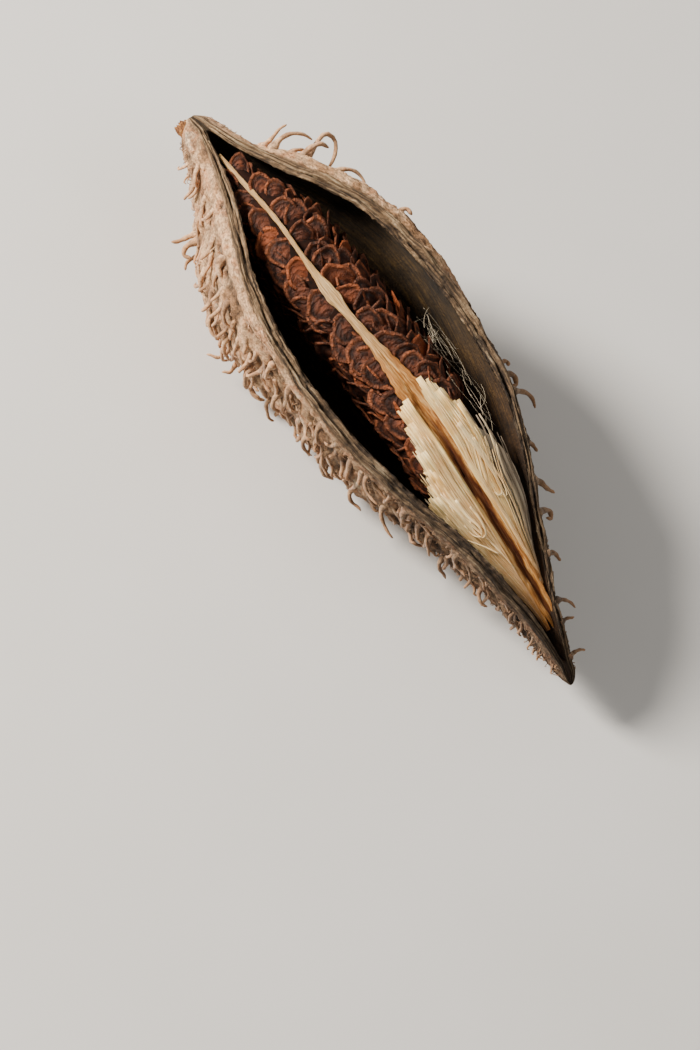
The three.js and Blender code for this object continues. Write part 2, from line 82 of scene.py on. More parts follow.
# Long spines that stand clear of the husk: station, turn round the shell, and how far out, ahead
# and aside of its root each bend is, in millimetres
LONG_SPINES = (
    (9.5, 0.84, ((2.0, -0.3, 0.0), (4.0, -0.7, 0.2), (5.4, -0.8, 0.4))),
    (10.9, 0.88, ((2.4, -0.9, 0.0), (4.2, -0.7, 0.2), (5.6, 0.5, 0.4), (6.2, 2.0, 0.6))),
    (12.5, 0.87, ((2.2, -0.1, 0.0), (3.4, 0.6, 0.2), (3.9, 1.7, 0.4))),
    (14.3, 0.9, ((3.4, -0.8, 0.0), (4.9, -0.4, 0.3), (5.5, 0.9, 0.5))),
    (15.0, 0.84, ((3.2, -1.3, 0.0), (6.2, -2.1, 0.3), (7.0, -0.5, 0.8), (5.6, 1.6, 0.6), (2.6, 3.1, 0.2))),
    (18.2, 0.9, ((2.4, 0.3, 0.0), (4.2, 1.8, 0.3), (4.6, 4.0, 0.7), (4.0, 4.8, 0.8))),
    (18.6, 0.83, ((2.6, 1.0, 0.0), (3.2, 2.2, 0.3), (2.9, 3.2, 0.5))),
    (21.4, 0.87, ((2.3, 0.9, 0.0), (2.9, 2.4, 0.4), (2.2, 4.0, 0.8))),
    (24.0, 0.85, ((1.7, 0.6, 0.0), (2.6, 1.7, 0.3), (2.2, 2.9, 0.6))),
    (27.5, 0.86, ((1.7, 1.0, 0.0), (2.9, 1.0, 0.3), (4.1, 1.2, 0.5), (4.4, 2.4, 0.4))),
    (14.5, -0.42, ((1.8, -0.5, 0.0), (3.9, -1.3, 0.3))),
    (15.6, -0.46, ((1.8, -0.4, 0.0), (2.9, 0.4, 0.2), (2.3, 1.5, 0.4))),
    (17.4, -0.4, ((1.5, -0.4, 0.0), (2.9, 0.3, 0.3))),
    (25.8, -0.36, ((1.2, 0.9, 0.0), (1.7, 2.6, 0.3))),
    (30.8, -0.38, ((1.6, 0.4, 0.0), (2.7, 0.1, 0.3), (3.4, -1.2, 0.5))),
    (32.6, -0.42, ((1.3, 1.0, 0.0), (2.3, 1.3, 0.3), (3.1, 0.6, 0.6))),
    (34.8, -0.35, ((1.5, 1.8, 0.0), (1.6, 3.8, 0.4), (0.9, 5.2, 0.8))),
)
# Hooks that curl off the edge of the right-hand rim, in the same terms
RIM_HOOKS = (
    (55.2, 0.95, ((1.2, 0.1, 0.0), (2.1, 0.4, 0.2), (1.9, 1.1, 0.3))),
    (57.2, 0.94, ((1.5, 0.0, 0.0), (2.5, 0.9, 0.3), (1.9, 2.0, 0.4), (1.0, 1.7, 0.4))),
    (59.4, 0.95, ((1.4, 0.6, 0.0), (2.9, 1.6, 0.2), (3.4, 3.0, 0.4), (2.9, 4.1, 0.5))),
    (66.5, 0.95, ((0.8, 0.9, 0.0), (1.2, 2.4, 0.3))),
    (71.8, 0.95, ((1.0, 1.0, 0.0), (1.6, 2.6, 0.2), (2.3, 3.6, 0.4))),
    (76.3, 0.94, ((1.4, 0.3, 0.0), (2.4, 1.0, 0.3), (1.8, 1.9, 0.4), (1.0, 1.4, 0.3))),
    (81.8, 0.95, ((1.1, 0.8, 0.0), (1.4, 2.2, 0.3))),
    (88.2, 0.93, ((1.2, 0.7, 0.0), (2.2, 1.8, 0.3), (2.4, 2.8, 0.5))),
    (91.5, 0.93, ((1.1, 0.0, 0.0), (2.3, 0.5, 0.2))),
    (96.3, 0.9, ((1.3, 0.0, 0.0), (2.5, 0.6, 0.2))),
)


# Numbers and curves


def seeded(seed):
    """Random numbers between 0 and 1, the same ones for the same seed."""
    state = [seed & 0xFFFFFFFF]

    def times(a, b):
        return (a * b) & 0xFFFFFFFF

    def draw():
        state[0] = (state[0] + 0x6D2B79F5) & 0xFFFFFFFF
        t = times(state[0] ^ (state[0] >> 15), 1 | state[0])
        t = ((t + times(t ^ (t >> 7), 61 | t)) & 0xFFFFFFFF) ^ t
        return ((t ^ (t >> 14)) & 0xFFFFFFFF) / 4294967296

    return draw


def profile(*points):
    """A smooth curve through (u, value) points that never overshoots them."""
    at = np.array([p[0] for p in points], float)
    value = np.array([p[1] for p in points], float)
    rise = np.diff(value) / np.diff(at)
    slope = np.empty(len(at))
    slope[0], slope[-1] = rise[0], rise[-1]
    both = rise[:-1] * rise[1:]
    total = np.where(both > 0, rise[:-1] + rise[1:], 1.0)
    slope[1:-1] = np.where(both > 0, 2 * both / total, 0.0)

    def curve(u):
        u = np.clip(u, at[0], at[-1])
        i = np.clip(np.searchsorted(at, u, side="right") - 1, 0, len(at) - 2)
        span = at[i + 1] - at[i]
        t = (u - at[i]) / span
        return (
            (2 * t**3 - 3 * t**2 + 1) * value[i]
            + (t**3 - 2 * t**2 + t) * span * slope[i]
            + (3 * t**2 - 2 * t**3) * value[i + 1]
            + (t**3 - t**2) * span * slope[i + 1]
        )

    return curve


def smooth(low, high, x):
    """0 below low, 1 above high, and a smooth step between them."""
    t = np.clip((np.asarray(x, float) - low) / (high - low), 0, 1)
    return t * t * (3 - 2 * t)


def unit(v):
    """The same ways, each one long."""
    return v / np.maximum(np.linalg.norm(v, axis=-1, keepdims=True), 1e-12)


# The pod's outline by station, in mm: how far its walls bulge to each side, how deep its back is, the
# level where it is widest, the height of the lips and half the gap between them
left_wall = profile(
    (0, 1.4), (2, 2.6), (6, 4.0), (10, 5.4), (14, 7.6), (20, 11.2), (25, 13.4), (31, 14.3), (39, 13.6),
    (50, 12.4), (57, 11.3), (65, 8.8), (72, 6.9), (80, 4.6), (88, 2.9), (95, 1.7), (100, 0.5),
)
right_wall = profile(
    (0, 1.4), (2, 2.9), (6, 4.6), (10, 6.4), (14, 8.8), (20, 12.6), (25, 14.9), (31, 16.6), (38, 17.1),
    (45, 16.6), (53, 14.9), (62, 12.3), (70, 9.8), (77, 7.3), (84, 5.2), (90, 3.6), (95, 2.2), (100, 0.5),
)
back = profile(
    (0, 0.6), (3, -1.4), (7, -3.6), (12, -6.8), (18, -10.2), (25, -12.4), (32, -13.1), (40, -12.6),
    (50, -11.2), (58, -9.4), (66, -6.6), (74, -3.8), (82, -1.6), (90, -0.3), (96, 0.2), (100, 0.3),
)
widest = profile(
    (0, 2.0), (10, 2.4), (25, 3.0), (45, 3.4), (70, 3.8), (82, 3.6), (92, 2.2), (100, 0.9)
)
rim_height = profile(
    (0, 3.6), (3, 4.8), (7, 5.9), (13, 7.9), (20, 9.8), (28, 10.7), (45, 11.5), (58, 11.9), (70, 11.0),
    (78, 9.9), (86, 7.8), (93, 5.2), (97, 3.0), (100, 1.2),
)
rim_half_gap = profile(
    (2.4, 0.3), (6, 1.2), (10, 2.8), (14, 4.6), (20, 8.1), (25, 10.6), (32, 12.5), (42, 13.6),
    (50, 13.2), (58, 11.9), (66, 9.4), (74, 6.4), (82, 4.0), (90, 1.9), (97, 0.4),
)
# The seed bundle: half its width and depth, and where the placenta's edge runs along its top
bundle_half_width = profile(
    (6, 0.9), (12, 2.0), (16, 3.4), (20, 4.8), (26, 5.8), (34, 6.2), (50, 6.2), (62, 6.1), (69, 5.6),
    (75, 4.5), (81, 3.0), (87, 1.7), (95, 0.8),
)
bundle_half_depth = profile(
    (6, 1.0), (12, 2.4), (16, 4.0), (20, 5.4), (26, 7.0), (34, 7.8), (50, 7.9), (61, 7.0), (70, 5.4),
    (77, 4.0), (84, 2.7), (90, 1.6), (95, 1.0),
)
ridge_height = profile(
    (6, 4.2), (10, 5.8), (15, 7.7), (20, 9.2), (26, 10.4), (34, 11.3), (46, 12.1), (58, 12.3),
    (66, 11.4), (74, 9.9), (82, 8.0), (89, 5.9), (95, 3.9),
)
ridge_side = profile(
    (6, -0.6), (12, -1.2), (20, -1.7), (30, -2.5), (36, -2.3), (46, -1.5), (56, -1.1), (66, -0.9),
    (76, -0.1), (84, 0.5), (90, 0.8), (95, 0.7),
)
placenta_width = profile(
    (6, 0.9), (14, 1.2), (24, 1.1), (29, 1.4), (33, 2.5), (37.5, 1.2), (44, 1.6), (50, 2.6), (56, 3.2),
    (66, 3.0), (80, 2.6), (88, 2.0), (95, 1.0),
)
placenta_groove = profile((6, 0), (46, 0.1), (56, 0.5), (64, 1.0), (84, 1.0), (95, 0.1))
# The right-hand hank narrows towards the beak, and flares beside the seeds
slimmer = profile((50, 1.0), (72, 1.0), (86, 0.6), (92, 0.6))
right_flare = profile((50, 1.05), (58, 1.12), (66, 1.35), (74, 1.4), (82, 1.15), (92, 1))
# The right wall draws in by the beak, and its rim is thinner there
right_draws_in = profile((60, 0), (68, 0.2), (76, 1.2), (82, 1.5), (87, 1.6), (93, 0.8), (98, 0))
right_rim = profile((0, 1), (48, 1), (60, 0.72), (76, 0.5), (88, 0.6), (95, 0.9), (100, 1))


def place(u, y, z):
    """Pod stations in millimetres to the resting frame in metres."""
    u, y, z = np.broadcast_arrays(*(np.asarray(v, float) for v in (u, y, z)))
    along = u - REST_STATION
    return MM * np.stack(
        [
            along * math.cos(NOSE_DOWN) + z * math.sin(NOSE_DOWN),
            y - REST_SIDE,
            z * math.cos(NOSE_DOWN) - along * math.sin(NOSE_DOWN) + REST_HEIGHT,
        ],
        -1,
    )


def wander(u, rate, where):
    """Noise along the stations, one value for each row."""
    return np.array([[noise.noise((x * rate, where, rate))] for x in u[:, 0]])


def rim_share(u):
    """The rim is thinner near both ends."""
    return np.minimum(1, np.minimum(0.35 + u / 22, 0.25 + (POD_LENGTH - u) / 24))


def wall_point(u, side, inset, t):
    """y and z on a wall: t is 0 on the back, 1 at the widest level and 2 at the lip."""
    drawn_in = right_draws_in(u) if side > 0 else 0.0
    half = np.maximum((right_wall(u) if side > 0 else left_wall(u)) - inset - drawn_in, 0.15)
    keel = 0.3 * (right_wall(u) - left_wall(u))
    level = widest(u)
    depth = np.maximum(level - back(u) - inset, 0.15)
    gap = np.maximum(rim_half_gap(u) - drawn_in, 0.25)
    lip = gap - (inset - WALL) if inset > 0 else gap + RIM_WALL * rim_share(u)
    rise = rim_height(u) - level
    angle = np.clip(t, 0, 1) * math.pi / 2
    s = np.clip(t - 1, 0, 1)
    y = keel + (side * half - keel) * np.sin(angle)
    z = level - depth * np.cos(angle)
    knee = lip + 0.35 * np.maximum(half - lip, 0)
    weights = [(1 - s) ** 3, 3 * s * (1 - s) ** 2, 3 * s * s * (1 - s), s**3]
    up_y = sum(w * p for w, p in zip(weights, (half, half, knee, lip)))
    up_z = level + sum(w * p for w, p in zip(weights, (0, 0.45 * rise, 0.8 * rise, rise - 0.2)))
    return np.where(t <= 1, y, side * up_y), np.where(t <= 1, z, up_z)


def bundle_point(u, across, up):
    """A point of the seed bundle, which leans to the left: across it and up to the placenta's edge."""
    lean_y, lean_z = -math.sin(BUNDLE_ROLL), math.cos(BUNDLE_ROLL)
    depth = bundle_half_depth(u)
    y = ridge_side(u) + lean_y * (up - depth) + lean_z * across
    z = ridge_height(u) + lean_z * (up - depth) - lean_y * across
    return place(u, y, z)


def on_bundle(side, u, angle, out=0.0, flare=1.0):
    """A point on one half of the bundle's outline, at an angle up from its side."""
    across = np.maximum((bundle_half_width(u) * flare + out) * np.cos(angle), 0.1)
    return bundle_point(u, side * across, (bundle_half_depth(u) + out) * np.sin(angle))


# Meshes


def nothing_selected():
    """Leaves edit mode and deselects everything, as before each piece."""
    if bpy.context.object and bpy.context.object.mode != "OBJECT":
        bpy.ops.object.mode_set(mode="OBJECT")
    bpy.ops.object.select_all(action="DESELECT")


def enclosed(mesh):
    """The volume that a closed mesh encloses, below zero where its faces point inwards."""
    mesh.calc_loop_triangles()
    corners = np.empty(len(mesh.loop_triangles) * 3, int)
    mesh.loop_triangles.foreach_get("vertices", corners)
    a, b, c = points_of(mesh)[corners.reshape(-1, 3)].transpose(1, 0, 2)
    return float((np.cross(a, b) * c).sum() / 6)


def draped(name, rows, attributes):
    """A closed skin over rows of closed sections: a grid is added, laid over them and welded."""
    count, around = rows.shape[:2]
    first, last = rows[:1].mean(1, keepdims=True), rows[-1:].mean(1, keepdims=True)
    rows = np.concatenate([first.repeat(around, 1), rows, last.repeat(around, 1)])
    rows = np.concatenate([rows, rows[:, :1]], 1)
    nothing_selected()
    bpy.ops.mesh.primitive_grid_add(x_subdivisions=around, y_subdivisions=count + 1, size=1)
    made = bpy.context.object
    made.name = made.data.name = name
    # Laid out in millimetres, where the weld can be finer than the smallest fold.
    made.data.vertices.foreach_set("co", (rows / MM).astype(np.float32).ravel())
    for key, values in attributes.items():
        values = np.concatenate([values[:1], values, values[-1:]])
        values = np.concatenate([values, values[:, :1]], 1)
        made.data.attributes.new(key, "FLOAT", "POINT")
        made.data.attributes[key].data.foreach_set("value", values.astype(np.float32).ravel())
    for layer in list(made.data.uv_layers):
        made.data.uv_layers.remove(layer)
    bpy.ops.object.mode_set(mode="EDIT")
    bpy.ops.mesh.select_all(action="SELECT")
    bpy.ops.mesh.remove_doubles(threshold=2e-5)
    bpy.ops.mesh.normals_make_consistent(inside=False)
    bpy.ops.object.mode_set(mode="OBJECT")
    made.data.transform(Matrix.Scale(MM, 4))
    if enclosed(made.data) < 0:
        bpy.ops.object.mode_set(mode="EDIT")
        bpy.ops.mesh.flip_normals()
        bpy.ops.object.mode_set(mode="OBJECT")
    bpy.ops.object.shade_smooth()
    return made


def read_model(made):
    """The points and faces of a modelled object, which is then removed."""
    mesh = made.data
    points, faces = points_of(mesh), [list(p.vertices) for p in mesh.polygons]
    bpy.data.objects.remove(made)
    bpy.data.meshes.remove(mesh)
    return points, faces


def strand_model(sides, steps):
    """A strand one unit long, extruded ring by ring from a circle. Its rings are given by height."""
    nothing_selected()
    bpy.ops.mesh.primitive_circle_add(vertices=sides, radius=1, fill_type="NGON")
    made = bpy.context.object
    bpy.ops.object.mode_set(mode="EDIT")
    bpy.ops.mesh.select_all(action="SELECT")
    bpy.ops.mesh.flip_normals()
    for _ in range(steps):
        bpy.ops.mesh.extrude_region_move(TRANSFORM_OT_translate={"value": (0, 0, 1)})
    bpy.ops.mesh.select_all(action="SELECT")
    bpy.ops.mesh.normals_make_consistent(inside=False)
    bpy.ops.object.mode_set(mode="OBJECT")
    points, faces = read_model(made)
    return points[:, :2], np.rint(points[:, 2]).astype(int), faces


class Copies:
    """Gathers shaped copies of a model, each with its own points, into one mesh."""

    def __init__(self):
        self.points, self.faces, self.count, self.values = [], [], 0, {}

    def add(self, points, faces, **values):
        """One more copy, with values for all its points or for each."""
        self.points.append(points)
        self.faces.extend([[i + self.count for i in face] for face in faces])
        self.count += len(points)
        for key, value in values.items():
            self.values.setdefault(key, []).append(np.broadcast_to(value, len(points)))

    def strand(self, model, centre, side, out, half_width, half_thick, **values):
        """Bends a strand along its centre line, flat towards out."""
        ring, level, faces = model
        steps = level.max()
        at = centre[level]
        at = at + side[level] * (ring[:, 0] * np.asarray(half_width)[level])[:, None]
        at = at + out[level] * (ring[:, 1] * np.asarray(half_thick)[level])[:, None]
        ahead = centre[level, 0] * math.cos(NOSE_DOWN) - centre[level, 2] * math.sin(NOSE_DOWN)
        along = ahead / MM + REST_STATION
        values.setdefault("run", level / steps)
        self.add(at, faces, along=along, **values)

    def mesh(self, name):
        """All the copies as one object, with their values as attributes."""
        data = bpy.data.meshes.new(name)
        data.from_pydata(np.concatenate(self.points).tolist(), [], self.faces)
        for key, values in self.values.items():
            data.attributes.new(key, "FLOAT", "POINT")
            flat = np.concatenate(values).astype(np.float32)
            data.attributes[key].data.foreach_set("value", flat)
        made = bpy.data.objects.new(name, data)
        bpy.context.scene.collection.objects.link(made)
        nothing_selected()
        made.select_set(True)
        bpy.context.view_layer.objects.active = made
        bpy.ops.object.shade_smooth()
        return made


def curve_through(points, steps):
    """Evenly spaced points of a smooth curve through a few points."""
    p = np.asarray(points, float)
    p = np.vstack([2 * p[0] - p[1], p, 2 * p[-1] - p[-2]])
    knots = np.concatenate([[0], np.cumsum(np.sqrt(np.linalg.norm(np.diff(p, axis=0), axis=1)))])
    fine = []
    for i in range(1, len(p) - 2):
        t0, t1, t2, t3 = knots[i - 1 : i + 3]
        t = np.linspace(t1, t2, 24, endpoint=i == len(p) - 3)[:, None]
        a1 = (t1 - t) / (t1 - t0) * p[i - 1] + (t - t0) / (t1 - t0) * p[i]
        a2 = (t2 - t) / (t2 - t1) * p[i] + (t - t1) / (t2 - t1) * p[i + 1]
        a3 = (t3 - t) / (t3 - t2) * p[i + 1] + (t - t2) / (t3 - t2) * p[i + 2]
        b1 = (t2 - t) / (t2 - t0) * a1 + (t - t0) / (t2 - t0) * a2
        b2 = (t3 - t) / (t3 - t1) * a2 + (t - t1) / (t3 - t1) * a3
        fine.append((t2 - t) / (t2 - t1) * b1 + (t - t1) / (t2 - t1) * b2)
    fine = np.vstack(fine)
    run = np.concatenate([[0], np.cumsum(np.linalg.norm(np.diff(fine, axis=0), axis=1))])
    want = np.linspace(0, run[-1], steps + 1)
    return np.stack([np.interp(want, run, fine[:, k]) for k in range(3)], -1)


def frames_along(centre, hint):
    """Side and out vectors along a line, carried without twist from a hint."""
    tangent = unit(np.gradient(centre, axis=0))
    out = np.empty_like(centre)
    carried = np.asarray(hint, float)
    for i, t in enumerate(tangent):
        carried = carried - t * carried.dot(t)
        carried = carried / max(np.linalg.norm(carried), 1e-9)
        out[i] = carried
    return np.cross(out, tangent), out


def points_of(mesh):
    """A mesh's points as rows."""
    points = np.empty(len(mesh.vertices) * 3)
    mesh.vertices.foreach_get("co", points)
    return points.reshape(-1, 3)


def rides(made, slot, *nodes):
    """Ties a finished piece to the pod's root, and hides the CAD nodes it stands for."""
    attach(made, "root")
    if nodes:
        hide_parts(*nodes)
    return made


# Materials


def linear(code):
    """An sRGB hex colour as linear values."""
    value = code.lstrip("#")
    channels = [int(value[i : i + 2], 16) / 255 for i in (0, 2, 4)]
    return tuple(c / 12.92 if c <= 0.04045 else ((c + 0.055) / 1.055) ** 2.4 for c in channels) + (1.0,)


def add(tree, kind, values=None, links=None, **settings):
    """Adds a shader node with its settings, socket values and links."""
    made = tree.nodes.new(kind)
    for name, value in settings.items():
        setattr(made, name, value)
    for name, value in (values or {}).items():
        made.inputs[name].default_value = value
    for name, socket in (links or {}).items():
        tree.links.new(socket, made.inputs[name])
    return made


def ramp(tree, socket, *stops):
    """Colours by a value."""
    made = add(tree, "ShaderNodeValToRGB", links={"Fac": socket})
    band = made.color_ramp
    while len(band.elements) < len(stops):
        band.elements.new(0.5)
    for element, (position, colour) in zip(band.elements, stops):
        element.position = position
        element.color = linear(colour) if isinstance(colour, str) else (colour,) * 3 + (1,)
    return made.outputs["Color"]


def feed(tree, node, values):
    """Links or sets a node's sockets, by index, to other sockets, hex colours or numbers."""
    for index, value in values.items():
        if isinstance(value, bpy.types.NodeSocket):
            tree.links.new(value, node.inputs[index])
        else:
            node.inputs[index].default_value = linear(value) if isinstance(value, str) else value


def mix(tree, factor, a, b, blend="MIX"):
    """Two colours mixed by a factor, each a socket or a value."""
    made = add(tree, "ShaderNodeMix", data_type="RGBA", blend_type=blend)
    feed(tree, made, {0: factor, 6: a, 7: b})
    return made.outputs[2]


def tinted(tree, colour, by):
    """A colour multiplied by another one."""
    return mix(tree, 1.0, colour, by, "MULTIPLY")


def maths(tree, operation, a, b=0.0):
    """Two values joined by an operation, each a socket or a number."""
    made = add(tree, "ShaderNodeMath", operation=operation)
    feed(tree, made, {0: a, 1: b})
    return made.outputs[0]


def scaled(tree, a, b):
    """One value times another."""
    return maths(tree, "MULTIPLY", a, b)


def added(tree, a, b):
    """One value plus another."""
    return maths(tree, "ADD", a, b)


def vector_of(tree, links):
    """A vector put together from values."""
    return add(tree, "ShaderNodeCombineXYZ", links=links).outputs["Vector"]


def vector_maths(tree, operation, *values):
    """A vector operation, with each vector a socket or numbers."""
    made = add(tree, "ShaderNodeVectorMath", operation=operation)
    feed(tree, made, dict(enumerate(values)))
    return made.outputs["Value" if operation == "LENGTH" else "Vector"]


def attribute(tree, name):
    """A value that the mesh carries at each point."""
    return add(tree, "ShaderNodeAttribute", attribute_name=name).outputs["Fac"]


def millimetres(tree, scale=(1, 1, 1)):
    """Object coordinates in millimetres, stretched by a scale."""
    place_at = add(tree, "ShaderNodeTexCoord").outputs["Object"]
    values = {"Scale": tuple(1000 * s for s in scale)}
    return add(tree, "ShaderNodeMapping", values, {"Vector": place_at}).outputs["Vector"]


def cloud(tree, vector, scale, detail=4.0, rough=0.55):
    """Noise from 0 to 1."""
    values = {"Scale": scale, "Detail": detail, "Roughness": rough}
    return add(tree, "ShaderNodeTexNoise", values, {"Vector": vector}).outputs["Fac"]


def material(name, roughness, sheen=0.0):
    """A new material with its Principled shader."""
    made = bpy.data.materials.new(name)
    made.use_nodes = True
    shader = made.node_tree.nodes["Principled BSDF"]
    shader.inputs["Roughness"].default_value = roughness
    shader.inputs["Sheen Weight"].default_value = sheen
    return made, made.node_tree, shader


def bumped(tree, shader, height, strength, distance_mm):
    """Gives a shader fine relief."""
    values = {"Strength": strength, "Distance": distance_mm * MM}
    bump = add(tree, "ShaderNodeBump", values, {"Height": height})
    tree.links.new(bump.outputs["Normal"], shader.inputs["Normal"])


def felt_colour(tree, mm, colours):
    """Bleached, faintly pink felt with browner worn patches."""
    broad = cloud(tree, mm, 0.24, 5, 0.58)
    fine = cloud(tree, mm, 2.6, 4, 0.65)
    felt = ramp(
        tree,
        broad,
        (0.3, colours.felt_dark),
        (0.42, colours.felt),
        (0.51, "#cfa880"),
        (0.59, "#b68158"),
        (0.72, "#f0d6b2"),
    )
    felt = tinted(tree, felt, ramp(tree, fine, (0.32, 0.4), (0.62, 1.15)))
    from_stalk = scaled(tree, attribute(tree, "along"), 0.01)
    # The felt grows darker towards the beak
    darker_to_beak = ramp(tree, from_stalk, (0.3, 1.04), (0.5, 0.7), (0.68, 0.46), (0.9, 0.38))
    grime = cloud(tree, mm, 0.7, 5, 0.7)
    felt = tinted(tree, felt, ramp(tree, grime, (0.34, 0.45), (0.48, 1.0), (0.68, 1.15)))
    return tinted(tree, felt, darker_to_beak), fine


def husk_finish(colours):
    """Weathered felt outside, a bleached fibrous lip and an olive-tan lining inside."""
    made, tree, shader = material("weathered_husk", 0.95)
    mm = millimetres(tree)
    felt, fine = felt_colour(tree, mm, colours)
    # Painted shade and highlight: the felt is darkened in the valleys of its relief and lightened on its
    # ridges
    painted_relief_shade = added(tree, scaled(tree, attribute(tree, "relief"), 0.8), 0.5)
    felt = tinted(tree, felt, ramp(tree, painted_relief_shade, (0.2, 0.22), (0.5, 0.9), (0.85, 1.35)))
    along, around = attribute(tree, "along"), attribute(tree, "around")
    fibres = cloud(tree, vector_of(tree, {"X": scaled(tree, along, 0.07), "Y": around}), 2.6, 6, 0.7)
    streaks = tinted(tree, felt, ramp(tree, fibres, (0.36, 0.35), (0.5, 0.95), (0.62, 1.15)))
    felt = mix(tree, attribute(tree, "near"), felt, streaks)
    patches = cloud(tree, mm, 0.2, 5, 0.6)
    velvet = cloud(tree, mm, 2.2, 5, 0.7)
    lining = ramp(
        tree, fibres, (0.3, "#241808"), (0.47, colours.lining), (0.6, "#644a22"), (0.78, "#876638")
    )
    lining = tinted(tree, lining, ramp(tree, velvet, (0.3, 0.62), (0.65, 1.15)))
    lining = tinted(tree, lining, ramp(tree, patches, (0.33, 0.3), (0.5, 0.8), (0.7, 1.05)))
    golden = ramp(tree, scaled(tree, along, 0.01), (0.45, 0.0), (0.75, 0.7))
    lining = mix(tree, golden, lining, tinted(tree, lining, "#f6c88c"))
    lips = ramp(
        tree,
        fibres,
        (0.33, "#1c130b"),
        (0.43, "#4d3a26"),
        (0.52, "#86694a"),
        (0.61, "#b59a76"),
        (0.72, "#e2cfac"),
    )
    # The lips grow darker towards the beak
    lips = tinted(tree, lips, ramp(tree, scaled(tree, along, 0.01), (0.25, 1.1), (0.6, 0.58), (0.9, 0.5)))
    lips = tinted(tree, lips, ramp(tree, cloud(tree, mm, 0.9, 5, 0.65), (0.32, 0.55), (0.6, 1.1)))
    # Painted shade: the lips are darkened along the bottom of the furrow between them
    lips = mix(tree, scaled(tree, attribute(tree, "furrow"), 0.75), lips, "#2c2117")
    colour = mix(tree, attribute(tree, "inside"), felt, lining)
    colour = mix(tree, attribute(tree, "lip"), colour, lips)
    tree.links.new(colour, shader.inputs["Base Color"])
    bumped(tree, shader, added(tree, scaled(tree, fine, 0.6), fibres), 1.0, 0.6)
    return made


def spine_finish(colours):
    """Soft spines: the felt they grow out of, warmer and smoother towards their tips."""
    made, tree, shader = material("soft_spines", 0.88, sheen=0.2)
    mm = millimetres(tree)
    felt, fine = felt_colour(tree, mm, colours)
    tone = ramp(tree, attribute(tree, "tone"), (0.0, 0.78), (1.0, 1.15))
    body = tinted(tree, felt, tone)
    tips = ramp(tree, attribute(tree, "run"), (0.2, 0.0), (0.7, 0.45), (1.0, 0.7))
    tree.links.new(mix(tree, tips, body, colours.spine), shader.inputs["Base Color"])
    bumped(tree, shader, fine, 0.6, 0.3)
    return made


def seed_finish(colours):
    """Dark reddish seed coats: a wrinkled body, a sunken ring darkened with painted shade, and a lighter,
    crimped wing.
    """
    made, tree, shader = material("seed_coats", 0.62)
    shader.inputs["Specular IOR Level"].default_value = 0.3
    mm = millimetres(tree)
    tone = attribute(tree, "tone")
    own = vector_of(tree, {"X": attribute(tree, "ahead"), "Y": attribute(tree, "aside")})
    radial = vector_maths(tree, "LENGTH", own)
    # Each seed takes its own part of the noise: crimps that radiate over the wing, folds in the body
    # and rings round the scar where its silk grew
    shifted = vector_of(tree, {"Z": scaled(tree, tone, 40.0)})
    spoke = vector_maths(tree, "NORMALIZE", own)
    crimps = cloud(tree, vector_maths(tree, "ADD", spoke, shifted), 9.0, 2, 0.5)
    folds = cloud(tree, vector_maths(tree, "ADD", own, shifted), 2.2, 5, 0.7)
    reach = vector_maths(tree, "LENGTH", vector_maths(tree, "ADD", own, (0.5, 0, 0)))
    rings = maths(tree, "SINE", added(tree, scaled(tree, reach, 18.0), scaled(tree, folds, 16.0)))
    # The darkest band lies over the sunken ring: painted shade in that groove
    body = ramp(
        tree,
        radial,
        (0.0, colours.seed),
        (0.42, "#552a15"),
        (0.6, "#33170a"),
        (0.7, "#502912"),
        (0.82, colours.seed_wing),
        (0.97, "#64351b"),
    )
    body = tinted(tree, body, ramp(tree, folds, (0.32, 0.25), (0.5, 0.85), (0.68, 1.5)))
    body = mix(tree, 0.7, body, tinted(tree, body, ramp(tree, crimps, (0.35, 0.55), (0.6, 1.4))))
    body = tinted(tree, body, ramp(tree, tone, (0.0, 0.55), (0.8, 1.1), (1.0, 1.45)))
    amber = ramp(tree, tone, (0.9, 0.0), (0.97, 0.55))
    tree.links.new(mix(tree, amber, body, "#8f4318"), shader.inputs["Base Color"])
    relief = added(tree, scaled(tree, rings, 0.22), scaled(tree, folds, 1.2))
    wing = ramp(tree, radial, (0.68, 0.0), (0.8, 1.0))
    relief = added(tree, relief, scaled(tree, wing, crimps))
    relief = added(tree, relief, scaled(tree, cloud(tree, mm, 4.0, 4, 0.7), 0.5))
    bumped(tree, shader, relief, 1.0, 0.32)
    return made


def placenta_finish(colours):
    """Cream papery tissue with long fibres, orange-brown edges, and painted shade in the groove by the floss.
    """
    made, tree, shader = material("papery_placenta", 0.6)
    shader.inputs["Specular IOR Level"].default_value = 0.25
    along, across = attribute(tree, "along"), attribute(tree, "across")
    warm = attribute(tree, "warm")
    flow = vector_of(tree, {"X": scaled(tree, along, 0.09), "Y": scaled(tree, across, 2.2)})
    fibres = cloud(tree, flow, 3.0, 6, 0.72)
    pale = ramp(
        tree, fibres, (0.3, "#7d5530"), (0.43, "#b48a56"), (0.53, colours.paper), (0.68, "#f6e2bb")
    )
    amber = ramp(tree, fibres, (0.34, "#3f1f0a"), (0.43, "#8c5220"), (0.53, "#c08946"), (0.68, "#f0d29a"))
    paper = mix(tree, warm, pale, amber)
    edge = ramp(tree, maths(tree, "ABSOLUTE", across), (0.4, 0.0), (0.75, 0.35), (1.0, 0.6))
    paper = mix(tree, scaled(tree, edge, warm), paper, "#b36f2f")
    # Painted shade: the paper darkens where the groove between the cords is deep
    paper = mix(tree, attribute(tree, "groove"), paper, tinted(tree, paper, "#6e4322"))
    tree.links.new(paper, shader.inputs["Base Color"])
    bumped(tree, shader, fibres, 0.8, 0.35)
    return made


